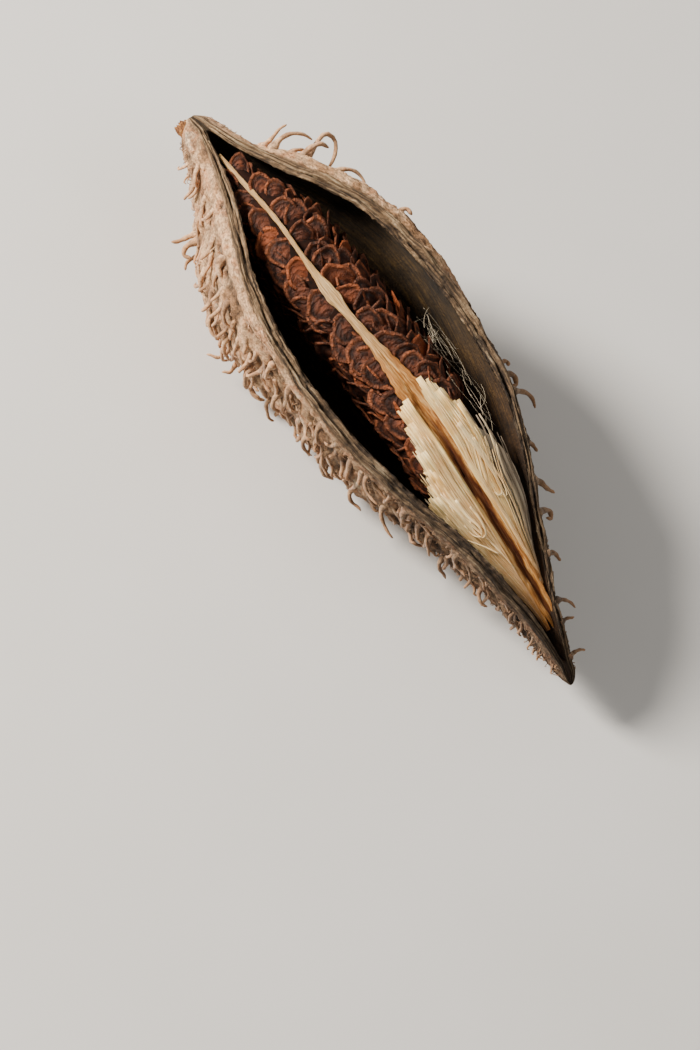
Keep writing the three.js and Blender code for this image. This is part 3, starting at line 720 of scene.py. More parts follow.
def silk_finish(colours):
    """Ivory silk: flat glossy fibres that run with the floss, honey-coloured where they meet, and painted
    dark brown as shade where they lie deep.
    """
    made, tree, shader = material("silky_floss", 0.42, sheen=0.08)
    across, run, tone = attribute(tree, "across"), attribute(tree, "run"), attribute(tree, "tone")
    flow = {"X": scaled(tree, run, 1.2), "Y": scaled(tree, across, 2.0), "Z": scaled(tree, tone, 3.0)}
    fibres = cloud(tree, vector_of(tree, flow), 2.2, 6, 0.68)
    body = ramp(
        tree, fibres, (0.26, "#7d5c28"), (0.37, "#c6a05c"), (0.48, colours.silk), (0.66, "#fff0bc")
    )
    patches = cloud(tree, millimetres(tree), 0.3, 5, 0.65)
    body = mix(tree, ramp(tree, patches, (0.4, 0.5), (0.56, 0.0)), body, tinted(tree, body, "#eac682"))
    warm = ramp(tree, run, (0.0, 0.05), (0.45, 0.12), (0.8, 0.6), (1.0, 0.95))
    body = mix(tree, warm, body, tinted(tree, body, "#dc9f50"))
    body = mix(tree, scaled(tree, attribute(tree, "silver"), 0.75), body, "#cdc3b6")
    body = tinted(tree, body, ramp(tree, tone, (0.0, 0.78), (1.0, 1.1)))
    # Painted shade: the floss is darkened towards brown by how deep it lies in shadow
    body = mix(tree, attribute(tree, "deep"), body, "#4b3013")
    tree.links.new(body, shader.inputs["Base Color"])
    bumped(tree, shader, fibres, 0.6, 0.2)
    return made


def core_finish(_):
    """The shadowed tissue between the seeds, which takes none of the user's colours."""
    made, tree, shader = material("seed_shadow", 0.9)
    shader.inputs["Specular IOR Level"].default_value = 0.15
    painted_shade = ramp(tree, cloud(tree, millimetres(tree), 1.2, 4), (0.3, "#0c0502"), (0.7, "#271006"))
    tree.links.new(painted_shade, shader.inputs["Base Color"])
    return made


def stub_finish(colours):
    """Broken reddish-brown stalk: torn fibres, with painted shade darkening the cracks."""
    made, tree, shader = material("broken_stalk", 0.8)
    mm = millimetres(tree, (0.5, 1, 1))
    torn = cloud(tree, mm, 2.6, 6, 0.7)
    # Painted shade: the darkest colour falls where the torn relief sinks into cracks
    wood = ramp(tree, torn, (0.34, "#2a1206"), (0.46, colours.stub), (0.58, "#a8733a"), (0.7, "#d6a868"))
    tree.links.new(wood, shader.inputs["Base Color"])
    bumped(tree, shader, torn, 1.0, 0.5)
    return made


FINISHES = {
    "weathered_husk": husk_finish,
    "soft_spines": spine_finish,
    "seed_coats": seed_finish,
    "seed_shadow": core_finish,
    "papery_placenta": placenta_finish,
    "silky_floss": silk_finish,
    "broken_stalk": stub_finish,
}


def wears(made, name):
    """Gives a piece its material, which is made the first time."""
    finish = bpy.data.materials.get(name) or FINISHES[name](bpy.context.scene.pod_colours)
    made.data.materials.append(finish)


# Sizes and colours that a user would change


class HuskSettings(bpy.types.PropertyGroup):
    """Sizes of the husk"""

    furrow: bpy.props.FloatProperty(
        name="Furrow",
        description="Depth of the furrow between the lips, in mm",
        default=0.6,
        min=0.0,
        max=3.0,
    )
    felt_lumps: bpy.props.FloatProperty(
        name="Felt lumps",
        description="How far the felt swells and sinks, in mm",
        default=0.42,
        min=0.0,
        max=1.0,
    )
    fuzz: bpy.props.IntProperty(
        name="Felt fuzz", description="Short loose curls on the felt", default=1100, min=0, max=4000
    )


class BundleSettings(bpy.types.PropertyGroup):
    """Sizes of the seeds and the floss"""

    seed_length: bpy.props.FloatProperty(
        name="Seed length",
        description="Length of a seed with its wing",
        default=5.6 * MM,
        subtype="DISTANCE",
        unit="LENGTH",
    )
    seed_width: bpy.props.FloatProperty(
        name="Seed width",
        description="Width of a seed with its wing",
        default=4.8 * MM,
        subtype="DISTANCE",
        unit="LENGTH",
    )
    locks: bpy.props.IntProperty(
        name="Silk locks", description="Flat locks of silk in each tuft", default=5, min=2, max=40
    )
    hairs: bpy.props.IntProperty(
        name="Silk hairs", description="Loose hairs in each hank", default=110, min=0, max=600
    )


class ColourSettings(bpy.types.PropertyGroup):
    """The colours that the finishes start from"""

    felt: bpy.props.StringProperty(name="Felt", description="Colour of the felt, as hex", default="#a67b54")
    felt_dark: bpy.props.StringProperty(
        name="Weathered felt", description="Colour of the felt where it is worn, as hex", default="#6a4d35"
    )
    spine: bpy.props.StringProperty(
        name="Spines", description="Colour of the spines, as hex", default="#b0825a"
    )
    lining: bpy.props.StringProperty(
        name="Lining", description="Colour of the husk's lining, as hex", default="#412e13"
    )
    seed: bpy.props.StringProperty(
        name="Seeds", description="Colour of the seeds, as hex", default="#6e381e"
    )
    seed_wing: bpy.props.StringProperty(
        name="Seed wings", description="Colour of the seeds' edges, as hex", default="#86492a"
    )
    paper: bpy.props.StringProperty(
        name="Placenta", description="Colour of the placenta, as hex", default="#cfa66e"
    )
    silk: bpy.props.StringProperty(name="Silk", description="Colour of the floss, as hex", default="#ebcb86")
    stub: bpy.props.StringProperty(
        name="Stalk stub", description="Colour of the broken stalk, as hex", default="#7d4a20"
    )


# Pieces


class POD_OT_stage(bpy.types.Operator):
    """Adds the pale floor, the soft studio lights and the camera"""

    bl_idname = "pod.stage"
    bl_label = "Stage"

    def execute(self, context):
        nothing_selected()
        bpy.ops.mesh.primitive_plane_add(size=6)
        floor = context.object
        floor.name = "floor"
        # Pale matte paper, faintly uneven
        paper, tree, shader = material("pale_paper", 0.9)
        tint = ramp(tree, cloud(tree, millimetres(tree), 0.02, 3), (0.3, "#d9d6d0"), (0.7, "#dedbd6"))
        tree.links.new(tint, shader.inputs["Base Color"])
        floor.data.materials.append(paper)

        # The view is 30 degrees to the left of straight down into the split, turned so that the pod
        # runs from the upper left to the lower right
        tilt = math.radians(30)
        tipped = Matrix.Rotation(NOSE_DOWN, 3, "Y")
        along = tipped @ Vector((1, 0, 0))
        across = tipped @ Vector((0, math.cos(tilt), math.sin(tilt)))
        towards = tipped @ Vector((0, -math.sin(tilt), math.cos(tilt)))
        right = POD_RIGHTWARD * along + POD_DOWNWARD * across
        upward = -POD_DOWNWARD * along + POD_RIGHTWARD * across
        # The middle of the picture, ahead, aside and up in the tilted view, in mm
        ahead, aside, up = 62.33, -13.09, 4.0
        y = aside * math.cos(tilt) - up * math.sin(tilt)
        z = aside * math.sin(tilt) + up * math.cos(tilt)
        aim = Vector(place(ahead, y, z).tolist())
        lens = bpy.data.cameras.new("camera")
        lens.lens = 180
        lens.sensor_width = 36
        distance = PICTURE_HEIGHT / PICTURE_SCALE * MM * lens.lens / lens.sensor_width
        lens.clip_start, lens.clip_end = 0.01, 20
        camera = bpy.data.objects.new("camera", lens)
        context.scene.collection.objects.link(camera)
        turn = Matrix((right, upward, towards)).transposed()
        camera.matrix_world = Matrix.Translation(aim + towards * distance) @ turn.to_4x4()
        context.scene.camera = camera

        def softbox(name, direction, distance, size, power, colour):
            """A round soft light that faces the pod."""
            lamp = bpy.data.lights.new(name, "AREA")
            lamp.shape = "DISK"
            lamp.size, lamp.energy, lamp.color = size, power, colour
            light = bpy.data.objects.new(name, lamp)
            direction = Vector(direction).normalized()
            light.location = Vector((0, 0, 0.01)) + direction * distance
            light.rotation_mode = "QUATERNION"
            light.rotation_quaternion = direction.to_track_quat("Z", "Y")
            context.scene.collection.objects.link(light)

        key = -0.75 * right + 0.62 * upward + 0.62 * towards
        fill = 0.8 * right + 0.1 * upward + 0.8 * towards
        softbox("key_light", key, 0.75, 0.2, 19.0, (1.0, 0.945, 0.875))
        softbox("fill_light", fill, 1.2, 1.0, 2.6, (1.0, 0.98, 0.95))
        world = bpy.data.worlds.new("studio")
        world.use_nodes = True
        world.node_tree.nodes["Background"].inputs["Color"].default_value = (1.0, 0.98, 0.96, 1)
        world.node_tree.nodes["Background"].inputs["Strength"].default_value = 0.27
        context.scene.world = world
        return {"FINISHED"}


def spread(keys, count):
    """Rows of key values eased out to more columns, without the two end ones."""
    keys = np.concatenate(keys, 1)
    want = np.linspace(0, keys.shape[1] - 1, count + 2)[1:-1]
    low = np.floor(want).astype(int)
    part = smooth(0, 1, want - low)
    return keys[:, low] * (1 - part) + keys[:, low + 1] * part


class POD_OT_husk(bpy.types.Operator):
    """Builds the husk: a felted boat with a double, ragged lip and a smooth lining"""

    bl_idname = "pod.husk"
    bl_label = "Husk"

    # Columns of points on the outside, over the lips and on the lining of one wall
    OUTER, LIPS, INNER = 60, 26, 36

    def execute(self, context):
        size = context.scene.pod_husk
        u = np.concatenate(
            [
                np.linspace(0, 4, 20, endpoint=False),
                np.linspace(4, 94, 290, endpoint=False),
                np.linspace(94, 100, 26),
            ]
        )[:, None]
        right, left = (self.half(size, u, side) for side in (1, -1))
        joined = {key: np.concatenate([right[key], left[key][:, -2:0:-1]], 1) for key in right}
        rows = place(u, joined.pop("y"), joined.pop("z"))
        outward = unit(np.cross(np.roll(rows, -1, 1) - np.roll(rows, 1, 1), np.gradient(rows, axis=0)))
        relief = self.relief(size, u, rows, joined)
        rows = rows + outward * relief[..., None] * MM
        # Both ends are rounded off
        middle = rows.mean(1, keepdims=True)
        blunt = np.sqrt(np.clip(1 - ((u - 98.2) / 1.8).clip(0, 1) ** 2 * 0.96, 0, 1))
        blunt = blunt * np.sqrt(np.clip(1 - ((1.4 - u) / 1.4).clip(0, 1) ** 2 * 0.8, 0, 1))
        rows = middle + (rows - middle) * blunt[..., None]
        rows[..., 2] = np.maximum(rows[..., 2], 0.0)
        joined["relief"] = relief
        joined["along"] = u + 0 * relief
        joined.pop("from_lip")
        made = draped("husk", rows, joined)
        wears(made, "weathered_husk")
        rides(made, "husk", "shell")
        return {"FINISHED"}

    def half(self, size, u, side):
        """One wall: its outside from the back to the lip, the two lips, and the lining back down."""
        outer = np.linspace(0, 2, self.OUTER)[None, :]
        inner = np.linspace(2, 0, self.INNER)[None, :]
        share = rim_share(u)
        thin = right_rim(u) if side > 0 else np.ones(u.shape)
        gap = np.maximum(rim_half_gap(u) - (right_draws_in(u) if side > 0 else 0.0), 0.25)
        width = RIM_WALL * share * thin
        lip = gap + RIM_WALL * share * (1 - thin)
        # The split opens a little way from both ends, and the lining shuts up to the lips there
        opened = smooth(3.1, 4.6, u) * smooth(3.2, 4.8, POD_LENGTH - u)
        y0, z0 = wall_point(u, side, 0, outer)
        y1, z1 = wall_point(u, side, WALL, inner)
        y1 = y1 + side * (lip - gap) * smooth(1.1, 2, inner)
        y1 = y1 * opened + side * lip * 0.6 * (1 - opened)
        z1 = rim_height(u) - 0.15 + (z1 - rim_height(u) + 0.15) * opened
        ragged, torn, frayed = (wander(u, rate, side * 9.0) for rate in (0.3, 0.9, 2.6))
        lift = (0.5 * ragged + 0.12 * torn + 0.04 * frayed) * share
        lower = (0.4 * ragged - 0.16 * torn + 0.07 * frayed) * share - 0.1
        deep = size.furrow * share * np.clip(0.6 + 1.6 * ragged, 0.1, 1.2)
        # Over the lips from outside to inside: how far across them, and how high, with a furrow between
        keys = (
            (1.0 + 0 * u, -0.2 + 0 * u),
            (0.96 + 0.08 * torn, 0.12 + lift),
            (0.78 + 0 * u, 0.2 + lift),
            (0.6 + 0.08 * ragged, 0.02 + lift),
            (0.5 + 0.1 * ragged, -deep),
            (0.43 + 0.1 * ragged, -deep),
            (0.34 + 0.06 * torn, -0.02 + lower),
            (0.16 + 0.05 * frayed, 0.1 + lower + 0.1 * frayed),
            (0.02 + 0.06 * frayed + 0.1 * torn, -0.1 + lower + 0.12 * frayed),
            (0 * u, -0.45 + 0 * u),
        )
        across = spread([k[0] for k in keys], self.LIPS)
        height = spread([k[1] for k in keys], self.LIPS)
        y = np.concatenate([y0, side * (lip + width * across), y1], 1)
        z = np.concatenate([z0, rim_height(u) + height, z1], 1)
        run = np.hypot(np.diff(y0, axis=1, prepend=y0[:, :1]), np.diff(z0, axis=1, prepend=z0[:, :1]))
        run = np.cumsum(run, 1)
        from_lip = run[:, -1:] - run
        # 0 on the outside, 1 over the lips and 2 on the lining
        part = np.concatenate([outer * 0, 1 + 0 * across[:1], 2 + inner * 0], 1) + 0 * y
        # Marks the bottom of the furrow, where the lips are painted with shade
        furrow = np.zeros(y.shape)
        furrow[:, self.OUTER : -self.INNER] = smooth(0.5, 0.95, -height / np.maximum(deep, 0.25))
        # Where the fibres run: a coordinate round the section, apart on the outside, lips and lining
        around = np.concatenate([100 + from_lip, 40 * side + across * 2.3, 70 * side + inner * 11 + 0 * u], 1)
        return {
            "y": y,
            "z": z,
            "lip": (part == 1) * 1.0,
            "inside": np.where(part == 2, 1.0, 0.0),
            "furrow": furrow,
            "around": around,
            "from_lip": np.concatenate([from_lip, 0 * across, 0 * y1], 1),
            "near": np.concatenate([0.85 * np.exp(-((from_lip / 2.4) ** 2)), 0 * across, 0 * y1], 1),
        }

    def relief(self, size, u, rows, joined):
        """How far the surface swells in mm: felt with combed ridges outside, and a faint lining."""
        relief = np.zeros(rows.shape[:2])
        # The ridges slant over the walls, and thick felt rolls over the right one beside the stalk
        slant_along, slant_down = math.cos(0.75), math.sin(0.75)
        thick_felt = (1.4 * smooth(6, 16, u) * (1 - smooth(34, 52, u)))[:, 0]
        for i in range(rows.shape[0]):
            station = float(u[i, 0])
            for j in range(rows.shape[1]):
                p = Vector(rows[i, j]) / MM
                if joined["inside"][i, j] > 0.5:
                    relief[i, j] = 0.08 * noise.fractal(p * 0.5, 0.7, 2.0, 3)
                elif joined["lip"][i, j] > 0.5:
                    way = joined["around"][i, j]
                    fibre = noise.noise((station * 0.16, way * 1.5, 3.0))
                    thread = noise.noise((station * 0.3, way * 3.4, 7.0))
                    relief[i, j] = 0.26 * fibre + 0.14 * thread + 0.05 * noise.noise(p * 1.6)
                else:
                    down = joined["from_lip"][i, j]
                    side = 1 if rows[i, j, 1] > -REST_SIDE * MM else -1
                    a = station * slant_along + down * slant_down
                    c = down * slant_along - station * slant_down
                    combed = noise.noise((a * 0.2, c * 0.62, side * 5.0))
                    fine = noise.noise((a * 0.5, c * 1.7, side * 8.0))
                    soft = noise.fractal(p * 0.3, 0.6, 2.0, 3)
                    tight = noise.fractal(p * 1.7, 0.7, 2.0, 3)
                    below = min(max((down - 2.2) / 2.5, 0.0), 1.0)
                    roll = 0.35 * math.exp(-(((down - 1.5) / 1.0) ** 2))
                    roll = roll - 0.25 * math.exp(-(((down - 3.6) / 0.9) ** 2))
                    if side > 0:
                        roll = roll + thick_felt[i] * math.exp(-(((down - 1.7) / 1.5) ** 2))
                    relief[i, j] = roll + size.felt_lumps * (
                        0.7 * soft + 0.4 * tight + below * (1.5 * combed + 0.5 * fine)
                    )
        return relief * rim_share(u)


def husk_point(u, turn):
    """A point on the husk's outside in metres, the way out of it, and its wall's length in mm.

    turn runs from -1 at the left lip through 0 on the back to 1 at the right lip.
    """
    side = -1 if turn < 0 else 1
    t = np.concatenate([np.arange(6) / 6, 1 + np.arange(5) / 4])
    y, z = wall_point(np.float64(u), side, 0, t)
    run = np.concatenate([[0], np.cumsum(np.hypot(np.diff(y), np.diff(z)))])
    at = min(max(abs(turn), 0.001), 0.999) * run[-1]
    here = place(u, np.interp(at, run, y), np.interp(at, run, z))
    i = int(np.clip(np.searchsorted(run, at) - 1, 0, len(run) - 2))
    tangent = np.array([y[i + 1] - y[i], z[i + 1] - z[i]]) / (run[i + 1] - run[i])
    out = unit(place(0, side * tangent[1], -side * tangent[0]) - place(0, 0, 0))
    return here, out, run[-1]


def over_the_felt(here, turn, heading, bend, length, heights, lowest):
    """Points that run over the felt at the given heights, never lower than the lowest over the floor.

    A heading of 0 is towards the beak, and a quarter turn is down the wall.
    """
    side = -1 if turn < 0 else 1
    stride = length / (len(heights) - 1)
    points = []
    for k, height in enumerate(heights):
        root, out, run = husk_point(min(max(here, 0.5), 99.5), turn)
        points.append(root + out * height * MM)
        points[-1][2] = max(points[-1][2], lowest * MM)
        angle = heading + bend * (k / (len(heights) - 1)) ** 2
        here += math.cos(angle) * stride
        turn = max(-0.97, min(0.97, turn - side * math.sin(angle) * stride / run))
    return points


class POD_OT_spines(bpy.types.Operator):
    """Grows the soft curling spines, the combed ridges between them and the fuzz of the felt"""

    bl_idname = "pod.spines"
    bl_label = "Spines and felt"

    def execute(self, context):
        # The way towards the beak, and random numbers for the details that all the strands share
        self.ahead = unit(place(1, 0, 0) - place(0, 0, 0))
        self.detail = seeded(91)
        spines = Copies()
        model = strand_model(7, 16)
        for here, turn, bends in LONG_SPINES:
            self.spine(spines, model, here, turn, 0.2, bends, 0.85)
        random = seeded(23)
        u, ring = 8.0, 0
        while u < 97:
            girth = husk_point(u, -0.5)[2] + husk_point(u, 0.5)[2]
            count = max(2, math.floor(girth / SPINE_PITCH + 0.5))
            for i in range(count):
                turn = ((i + 0.5 + (ring % 2) * 0.5) / count) * 2 - 1 + (random() - 0.5) * 0.1
                here = u + (random() - 0.5) * 2.6
                size = self.size(here)
                length = (3.4 + 2 * random()) * size
                heading = 0.35 + 0.75 * random()
                swing = (random() - 0.5) * 1.6
                # None on the lips, nor where the long spines stand on the right
                if abs(turn) > 0.9 or (turn > 0.7 and here < 30):
                    continue
                rise = 1.15 * size
                bends = (
                    (0.75 * rise, 0.12 * length, 0.0),
                    (1.15 * rise, 0.55 * length, 0.12 * swing * length),
                    (0.8 * rise, 0.9 * length, 0.5 * swing * length),
                )
                self.spine(spines, model, here, turn, heading, bends, 0.68)
            u += SPINE_PITCH * 0.82
            ring += 1
        for here, turn, bends in RIM_HOOKS:
            self.spine(spines, model, here, turn, 0.0, bends, 0.75)
        self.ridges(spines, strand_model(6, 10))
        made = spines.mesh("soft_spines")
        wears(made, "soft_spines")
        rides(made, "husk", "shell")
        fuzz = Copies()
        model = strand_model(3, 6)
        for _ in range(context.scene.pod_husk.fuzz):
            self.tuft(fuzz, model)
        made = fuzz.mesh("felt_fuzz")
        wears(made, "soft_spines")
        rides(made, "husk", "shell")
        return {"FINISHED"}

    def size(self, here):
        """The spines are smaller near both ends."""
        return min(1, 0.45 + (POD_LENGTH - here) / 60, 0.35 + here / 18)

    def spine(self, made, model, here, turn, heading, bends, thick):
        """A large spine through its bends, each given by how far out, ahead and aside it is in mm."""
        root, out, _ = husk_point(here, turn)
        size = self.size(here)
        down = unit(np.cross(out, self.ahead)) * (-1 if turn < 0 else 1)
        lead = self.ahead * math.cos(heading) + down * math.sin(heading)
        aside = np.cross(out, lead)
        rooted = 0.7 if abs(turn) < 0.8 else 0.25
        points = [root - out * rooted * WALL * MM]
        for outward, forward, sideways in bends:
            p = root + MM * (out * outward + lead * forward + aside * sideways)
            p[2] = max(p[2], 0.6 * MM)
            points.append(p)
        steps = model[1].max()
        centre = curve_through(points, steps)
        t = np.linspace(0, 1, steps + 1)
        phase = PHASE * self.detail()
        wiggle = 0.2 * MM * size * smooth(0.3, 1, t)
        side, flat = frames_along(centre, self.ahead if abs(out.dot(self.ahead)) < 0.5 else out)
        centre = centre + side * (wiggle * np.sin(9 * t + phase))[:, None]
        centre = centre + flat * (wiggle * np.cos(7 * t + phase))[:, None]
        centre[:, 2] = np.maximum(centre[:, 2], 0.35 * MM)
        radius = thick * (1 - 0.68 * t**0.6) * (0.7 + 0.3 * size) * (0.8 + 0.4 * self.detail()) * MM
        radius = radius * (1 + 0.7 * np.exp(-(((t - 0.12) / 0.14) ** 2)))
        radius = radius * (1 + 0.12 * np.sin(23 * t + phase))
        radius[-1] *= 0.45
        made.strand(model, centre, side, flat, radius, radius * 0.85, tone=self.detail())

    def ridges(self, made, model):
        """Finer spines that lie combed over the felt, their tips curling off it."""
        random = seeded(577)
        steps = model[1].max()
        t = np.linspace(0, 1, steps + 1)
        u, ring = 6.0, 0
        while u < 97:
            girth = husk_point(u, -0.5)[2] + husk_point(u, 0.5)[2]
            count = max(3, round(girth / 3.1))
            for i in range(count):
                turn = ((i + 0.5 + (ring % 2) * 0.5) / count) * 2 - 1 + (random() - 0.5) * 0.08
                here = u + (random() - 0.5) * 2.4
                length = (2.6 + 2.8 * random()) * self.size(here)
                heading = 0.3 + 1.1 * random()
                bend = (random() - 0.4) * 3.4
                lift = 0.15 + 1.3 * random() ** 2
                if abs(turn) > 0.8 + 0.08 * random():
                    continue
                tip = (0.25 + 0.1 * lift, 0.3 + 0.5 * lift, 0.3 + lift, 0.2 + 0.8 * lift)
                heights = (-0.5, -0.1, 0.12, 0.2, *tip)
                points = over_the_felt(here, turn, heading, bend, length, heights, 0.3)
                centre = curve_through(points, steps)
                side, flat = frames_along(centre, husk_point(here, turn)[1])
                radius = (0.42 + 0.18 * random()) * self.size(here) * (1 - 0.62 * t**1.2) * MM
                radius[-1] *= 0.5
                made.strand(model, centre, side, flat, radius, radius * 0.9, tone=random())
            u += 2.5
            ring += 1

    def tuft(self, made, model):
        """A short fine curl of loose felt."""
        detail = self.detail
        here, turn = 2 + 96 * detail(), (2 * detail() - 1) * 0.98
        length = 0.5 + 1.3 * detail() ** 2
        lift = 0.1 + 0.5 * detail()
        heights = (-0.2, 0.1, 0.1 + lift, 0.05 + 0.6 * lift)
        points = over_the_felt(here, turn, PHASE * detail(), (detail() - 0.5) * 5, length, heights, 0.15)
        steps = model[1].max()
        centre = curve_through(points, steps)
        side, flat = frames_along(centre, husk_point(here, turn)[1])
        radius = (0.07 + 0.06 * detail()) * MM * (1 - 0.5 * np.linspace(0, 1, steps + 1))
        made.strand(model, centre, side, flat, radius, radius, tone=detail())


class POD_OT_placenta(bpy.types.Operator):
    """Builds the upright papery blade and its swelling, grooved edge"""

    bl_idname = "pod.placenta"
    bl_label = "Placenta"

    # Columns of points over the blade's edge
    EDGE = 30

    def execute(self, context):
        u = np.linspace(7, 93.5, 300)[:, None]
        slow, quick, fray = (wander(u, rate, 2.0) for rate in (0.25, 0.8, 2.0))
        half = placenta_width(u) / 2 * (0.62 + 0.38 * smooth(24, 40, u)) * (1 + 0.2 * quick + 0.06 * fray)
        half = half * (1 + 0.3 * smooth(38, 47, u) * (1 - smooth(64, 78, u)))
        half = half * (1 - 0.8 * smooth(88, 93.5, u))
        depth = bundle_half_depth(u)
        blade = np.minimum(0.4, half * 0.6)
        thick = np.minimum(0.9, depth * 0.6)
        proud = 0.5 + 0.85 * smooth(12, 24, u) * (1 - smooth(48, 56, u))
        top = depth + proud + 0.15 * slow - 1.2 * smooth(89, 93.5, u)
        t = np.linspace(-1, 1, self.EDGE)[None, :]
        # Two cords with a groove between them, which opens wide beside the floss and is painted dark there as
        # shade
        cords = smooth(41, 50, u)
        middle = 0.3 * slow
        wide = 0.18 + 0.3 * smooth(54, 68, u)
        groove = (0.3 * cords + placenta_groove(u) * 0.7) * np.exp(-(((t - middle) / wide) ** 2))
        crown = top - 0.3 * np.abs(t) ** 2.5 - groove
        grain = [[noise.noise((x * 0.14, 6.0 * s, 1.0)) for s in t[0]] for x in u[:, 0]]
        crown = crown + 0.09 * np.array(grain)
        # Down one side of the blade: half its thickness, and the height
        under = (
            (half * 0.97, top - 0.45 - thick * 0.3),
            (half * 0.8, top - 0.3 - thick),
            (blade, top - thick - 0.8),
            (blade, top * 0.3),
            (blade, -depth * 0.3),
            (blade, -depth * 0.9),
        )
        down, back_up = under, under[::-1]
        across = np.concatenate([half * t[:, ::-1]] + [-a for a, _ in down] + [a for a, _ in back_up], 1)
        up = np.concatenate([crown[:, ::-1]] + [b + 0 * u for _, b in (*down, *back_up)], 1)
        # Painted shade over the deep part of the groove
        painted_shade = np.zeros(across.shape)
        painted_shade[:, : self.EDGE] = (0.92 * smooth(0.32, 0.7, groove) * smooth(46, 62, u))[:, ::-1]
        warm = smooth(37, 50, u) + 0 * across
        made = draped(
            "placenta_blade",
            bundle_point(u, across, up),
            {"along": u + 0 * across, "across": np.clip(across / half, -1, 1), "groove": painted_shade, "warm": warm},
        )
        wears(made, "papery_placenta")
        rides(made, "placenta", "placenta")
        return {"FINISHED"}


def seed_model():
    """A flat oval seed, modelled by insets: a rolled wing, a sunken ring and a swollen middle."""
    nothing_selected()
    bpy.ops.mesh.primitive_circle_add(vertices=12, radius=1, fill_type="NGON")
    made = bpy.context.object
    bpy.ops.object.mode_set(mode="EDIT")
    bpy.ops.mesh.select_all(action="SELECT")
    for thickness, rise in ((0.12, 0.45), (0.14, -0.5), (0.24, 0.5)):
        bpy.ops.mesh.inset(thickness=thickness, depth=0)
        bpy.ops.transform.translate(value=(0, 0, rise))
    bpy.ops.mesh.poke(offset=-0.2)
    bpy.ops.mesh.select_all(action="DESELECT")
    bpy.ops.mesh.select_non_manifold(extend=False)
    bpy.ops.mesh.extrude_edges_move(TRANSFORM_OT_translate={"value": (0, 0, -0.6)})
    bpy.ops.transform.resize(value=(0.86, 0.86, 1), center_override=(0, 0, 0))
    bpy.ops.mesh.edge_face_add()
    bpy.ops.mesh.select_all(action="SELECT")
    bpy.ops.mesh.normals_make_consistent(inside=False)
    bpy.ops.object.mode_set(mode="OBJECT")
    return read_model(made)


class POD_OT_seeds(bpy.types.Operator):
    """Lays the winged seeds like shingles over both halves of the bundle"""

    bl_idname = "pod.seeds"
    bl_label = "Seeds"

    def execute(self, context):
        size = context.scene.pod_bundle
        for side, name, until, tilt, pitch, seed, tufts in (
            (-1, "left", 65, 13, 2.3, 131, LEFT_TUFTS),
            (1, "right", 55, 26, 2.1, 147, RIGHT_TUFTS),
        ):
            made = self.half(size, side, until, tilt, pitch, seed, tufts).mesh("seed_pile_" + name)
            wears(made, "seed_coats")
            rides(made, "seeds", "seeds_" + name)
            u = np.linspace(9, until + 1, 60)[:, None]
            angle = np.linspace(-math.pi / 2, math.pi / 2, 26)[None, :]
            across = 0.25 + (bundle_half_width(u) - 0.35) * np.cos(angle)
            rows = bundle_point(u, side * across, (bundle_half_depth(u) - 0.35) * np.sin(angle))
            # What shows between the seeds
            core = draped("seed_core_" + name, rows, {})
            wears(core, "seed_shadow")
            rides(core, "seeds", "seeds_" + name)
        return {"FINISHED"}

    def half(self, size, side, until, tilt, pitch, seed, tufts):
        """Rows of seeds over one half of the bundle, as far as the tufts of silk leave them bare."""
        points, faces = seed_model()
        radial = np.hypot(points[:, 0], points[:, 1])
        turned = np.arctan2(points[:, 1], points[:, 0])
        random = seeded(seed)
        made = Copies()
        length, width = size.seed_length, size.seed_width
        lower_first = sorted(tufts)
        u, row = 10.5, 0
        while u < until + 1:
            # How many seeds go round this row, from beside the placenta to under the bundle
            radius = math.sqrt((bundle_half_width(u) ** 2 + bundle_half_depth(u) ** 2) / 2)
            free = min(1.0, (placenta_width(u) / 2 + 0.24 * width / MM) / radius)
            count = max(2, round((math.pi - free) * radius / 2.9))
            small = 0.72 + 0.28 * float(smooth(10, 30, u))
            for i in range(count):
                share = min((i + 0.5 * (row % 2)) / count, 1.0)
                angle = math.pi / 2 - free - share * (math.pi - free) + (random() - 0.5) * 0.16
                here = u + (random() - 0.5) * 1.5
                covered = here - np.interp(math.degrees(angle), *zip(*lower_first))
                draws = [random() for _ in range(11)]
                # Seeds under the silk are left out, after their random numbers are drawn
                if covered > 1.0:
                    continue
                turn, roll = (draws[1] - 0.5) * 1.2, (draws[2] - 0.5) * 0.45
                if share < 0.14:
                    roll = -side * (0.35 + 0.3 * draws[2])
                    angle = min(angle, math.pi / 2 - free)
                centre = on_bundle(side, here, angle)
                ahead = unit(centre - on_bundle(side, here + 0.5, angle))
                round_way = unit(on_bundle(side, here, angle - 0.05) - centre)
                out = unit(np.cross(ahead, round_way)) * -side
                sideways = unit(np.cross(out, ahead))
                lift = math.radians(tilt + 7 * float(smooth(50, 22, here)) + (draws[0] - 0.5) * 16)
                scale = small * (0.88 + 0.24 * draws[3])
                edge = 1 + 0.06 * np.sin(3 * turned + PHASE * draws[4])
                edge = edge + 0.04 * np.sin(5 * turned + PHASE * draws[5])
                p = points.copy()
                p[:, 0] *= length / 2 * scale * edge
                p[:, 1] *= width / 2 * scale * edge * (1 - 0.1 * points[:, 0])
                crumple = 0.2 * np.sin(4 * turned + PHASE * draws[6]) * radial**3
                crumple = crumple + 0.2 * np.sin(2 * turned + PHASE * draws[7]) * radial
                p[:, 2] = (p[:, 2] * 0.28 + crumple) * MM
                p[:, 2] += (0.3 - draws[8]) * 70 * p[:, 1] ** 2 + (draws[9] - 0.6) * 50 * p[:, 0] ** 2
                spin = Matrix.Rotation(-lift, 3, "Y") @ Matrix.Rotation(roll, 3, "X")
                p = p @ np.array(spin @ Matrix.Rotation(turn, 3, "Z")).T
                sunk = 0.15 - 0.5 * float(smooth(-3, 1, covered))
                base = centre + out * sunk * MM
                p = base + p[:, :1] * ahead + p[:, 1:2] * sideways + p[:, 2:] * out
                made.add(p, faces, ahead=points[:, 0], aside=points[:, 1], tone=draws[10])
            u += pitch
            row += 1
        return made


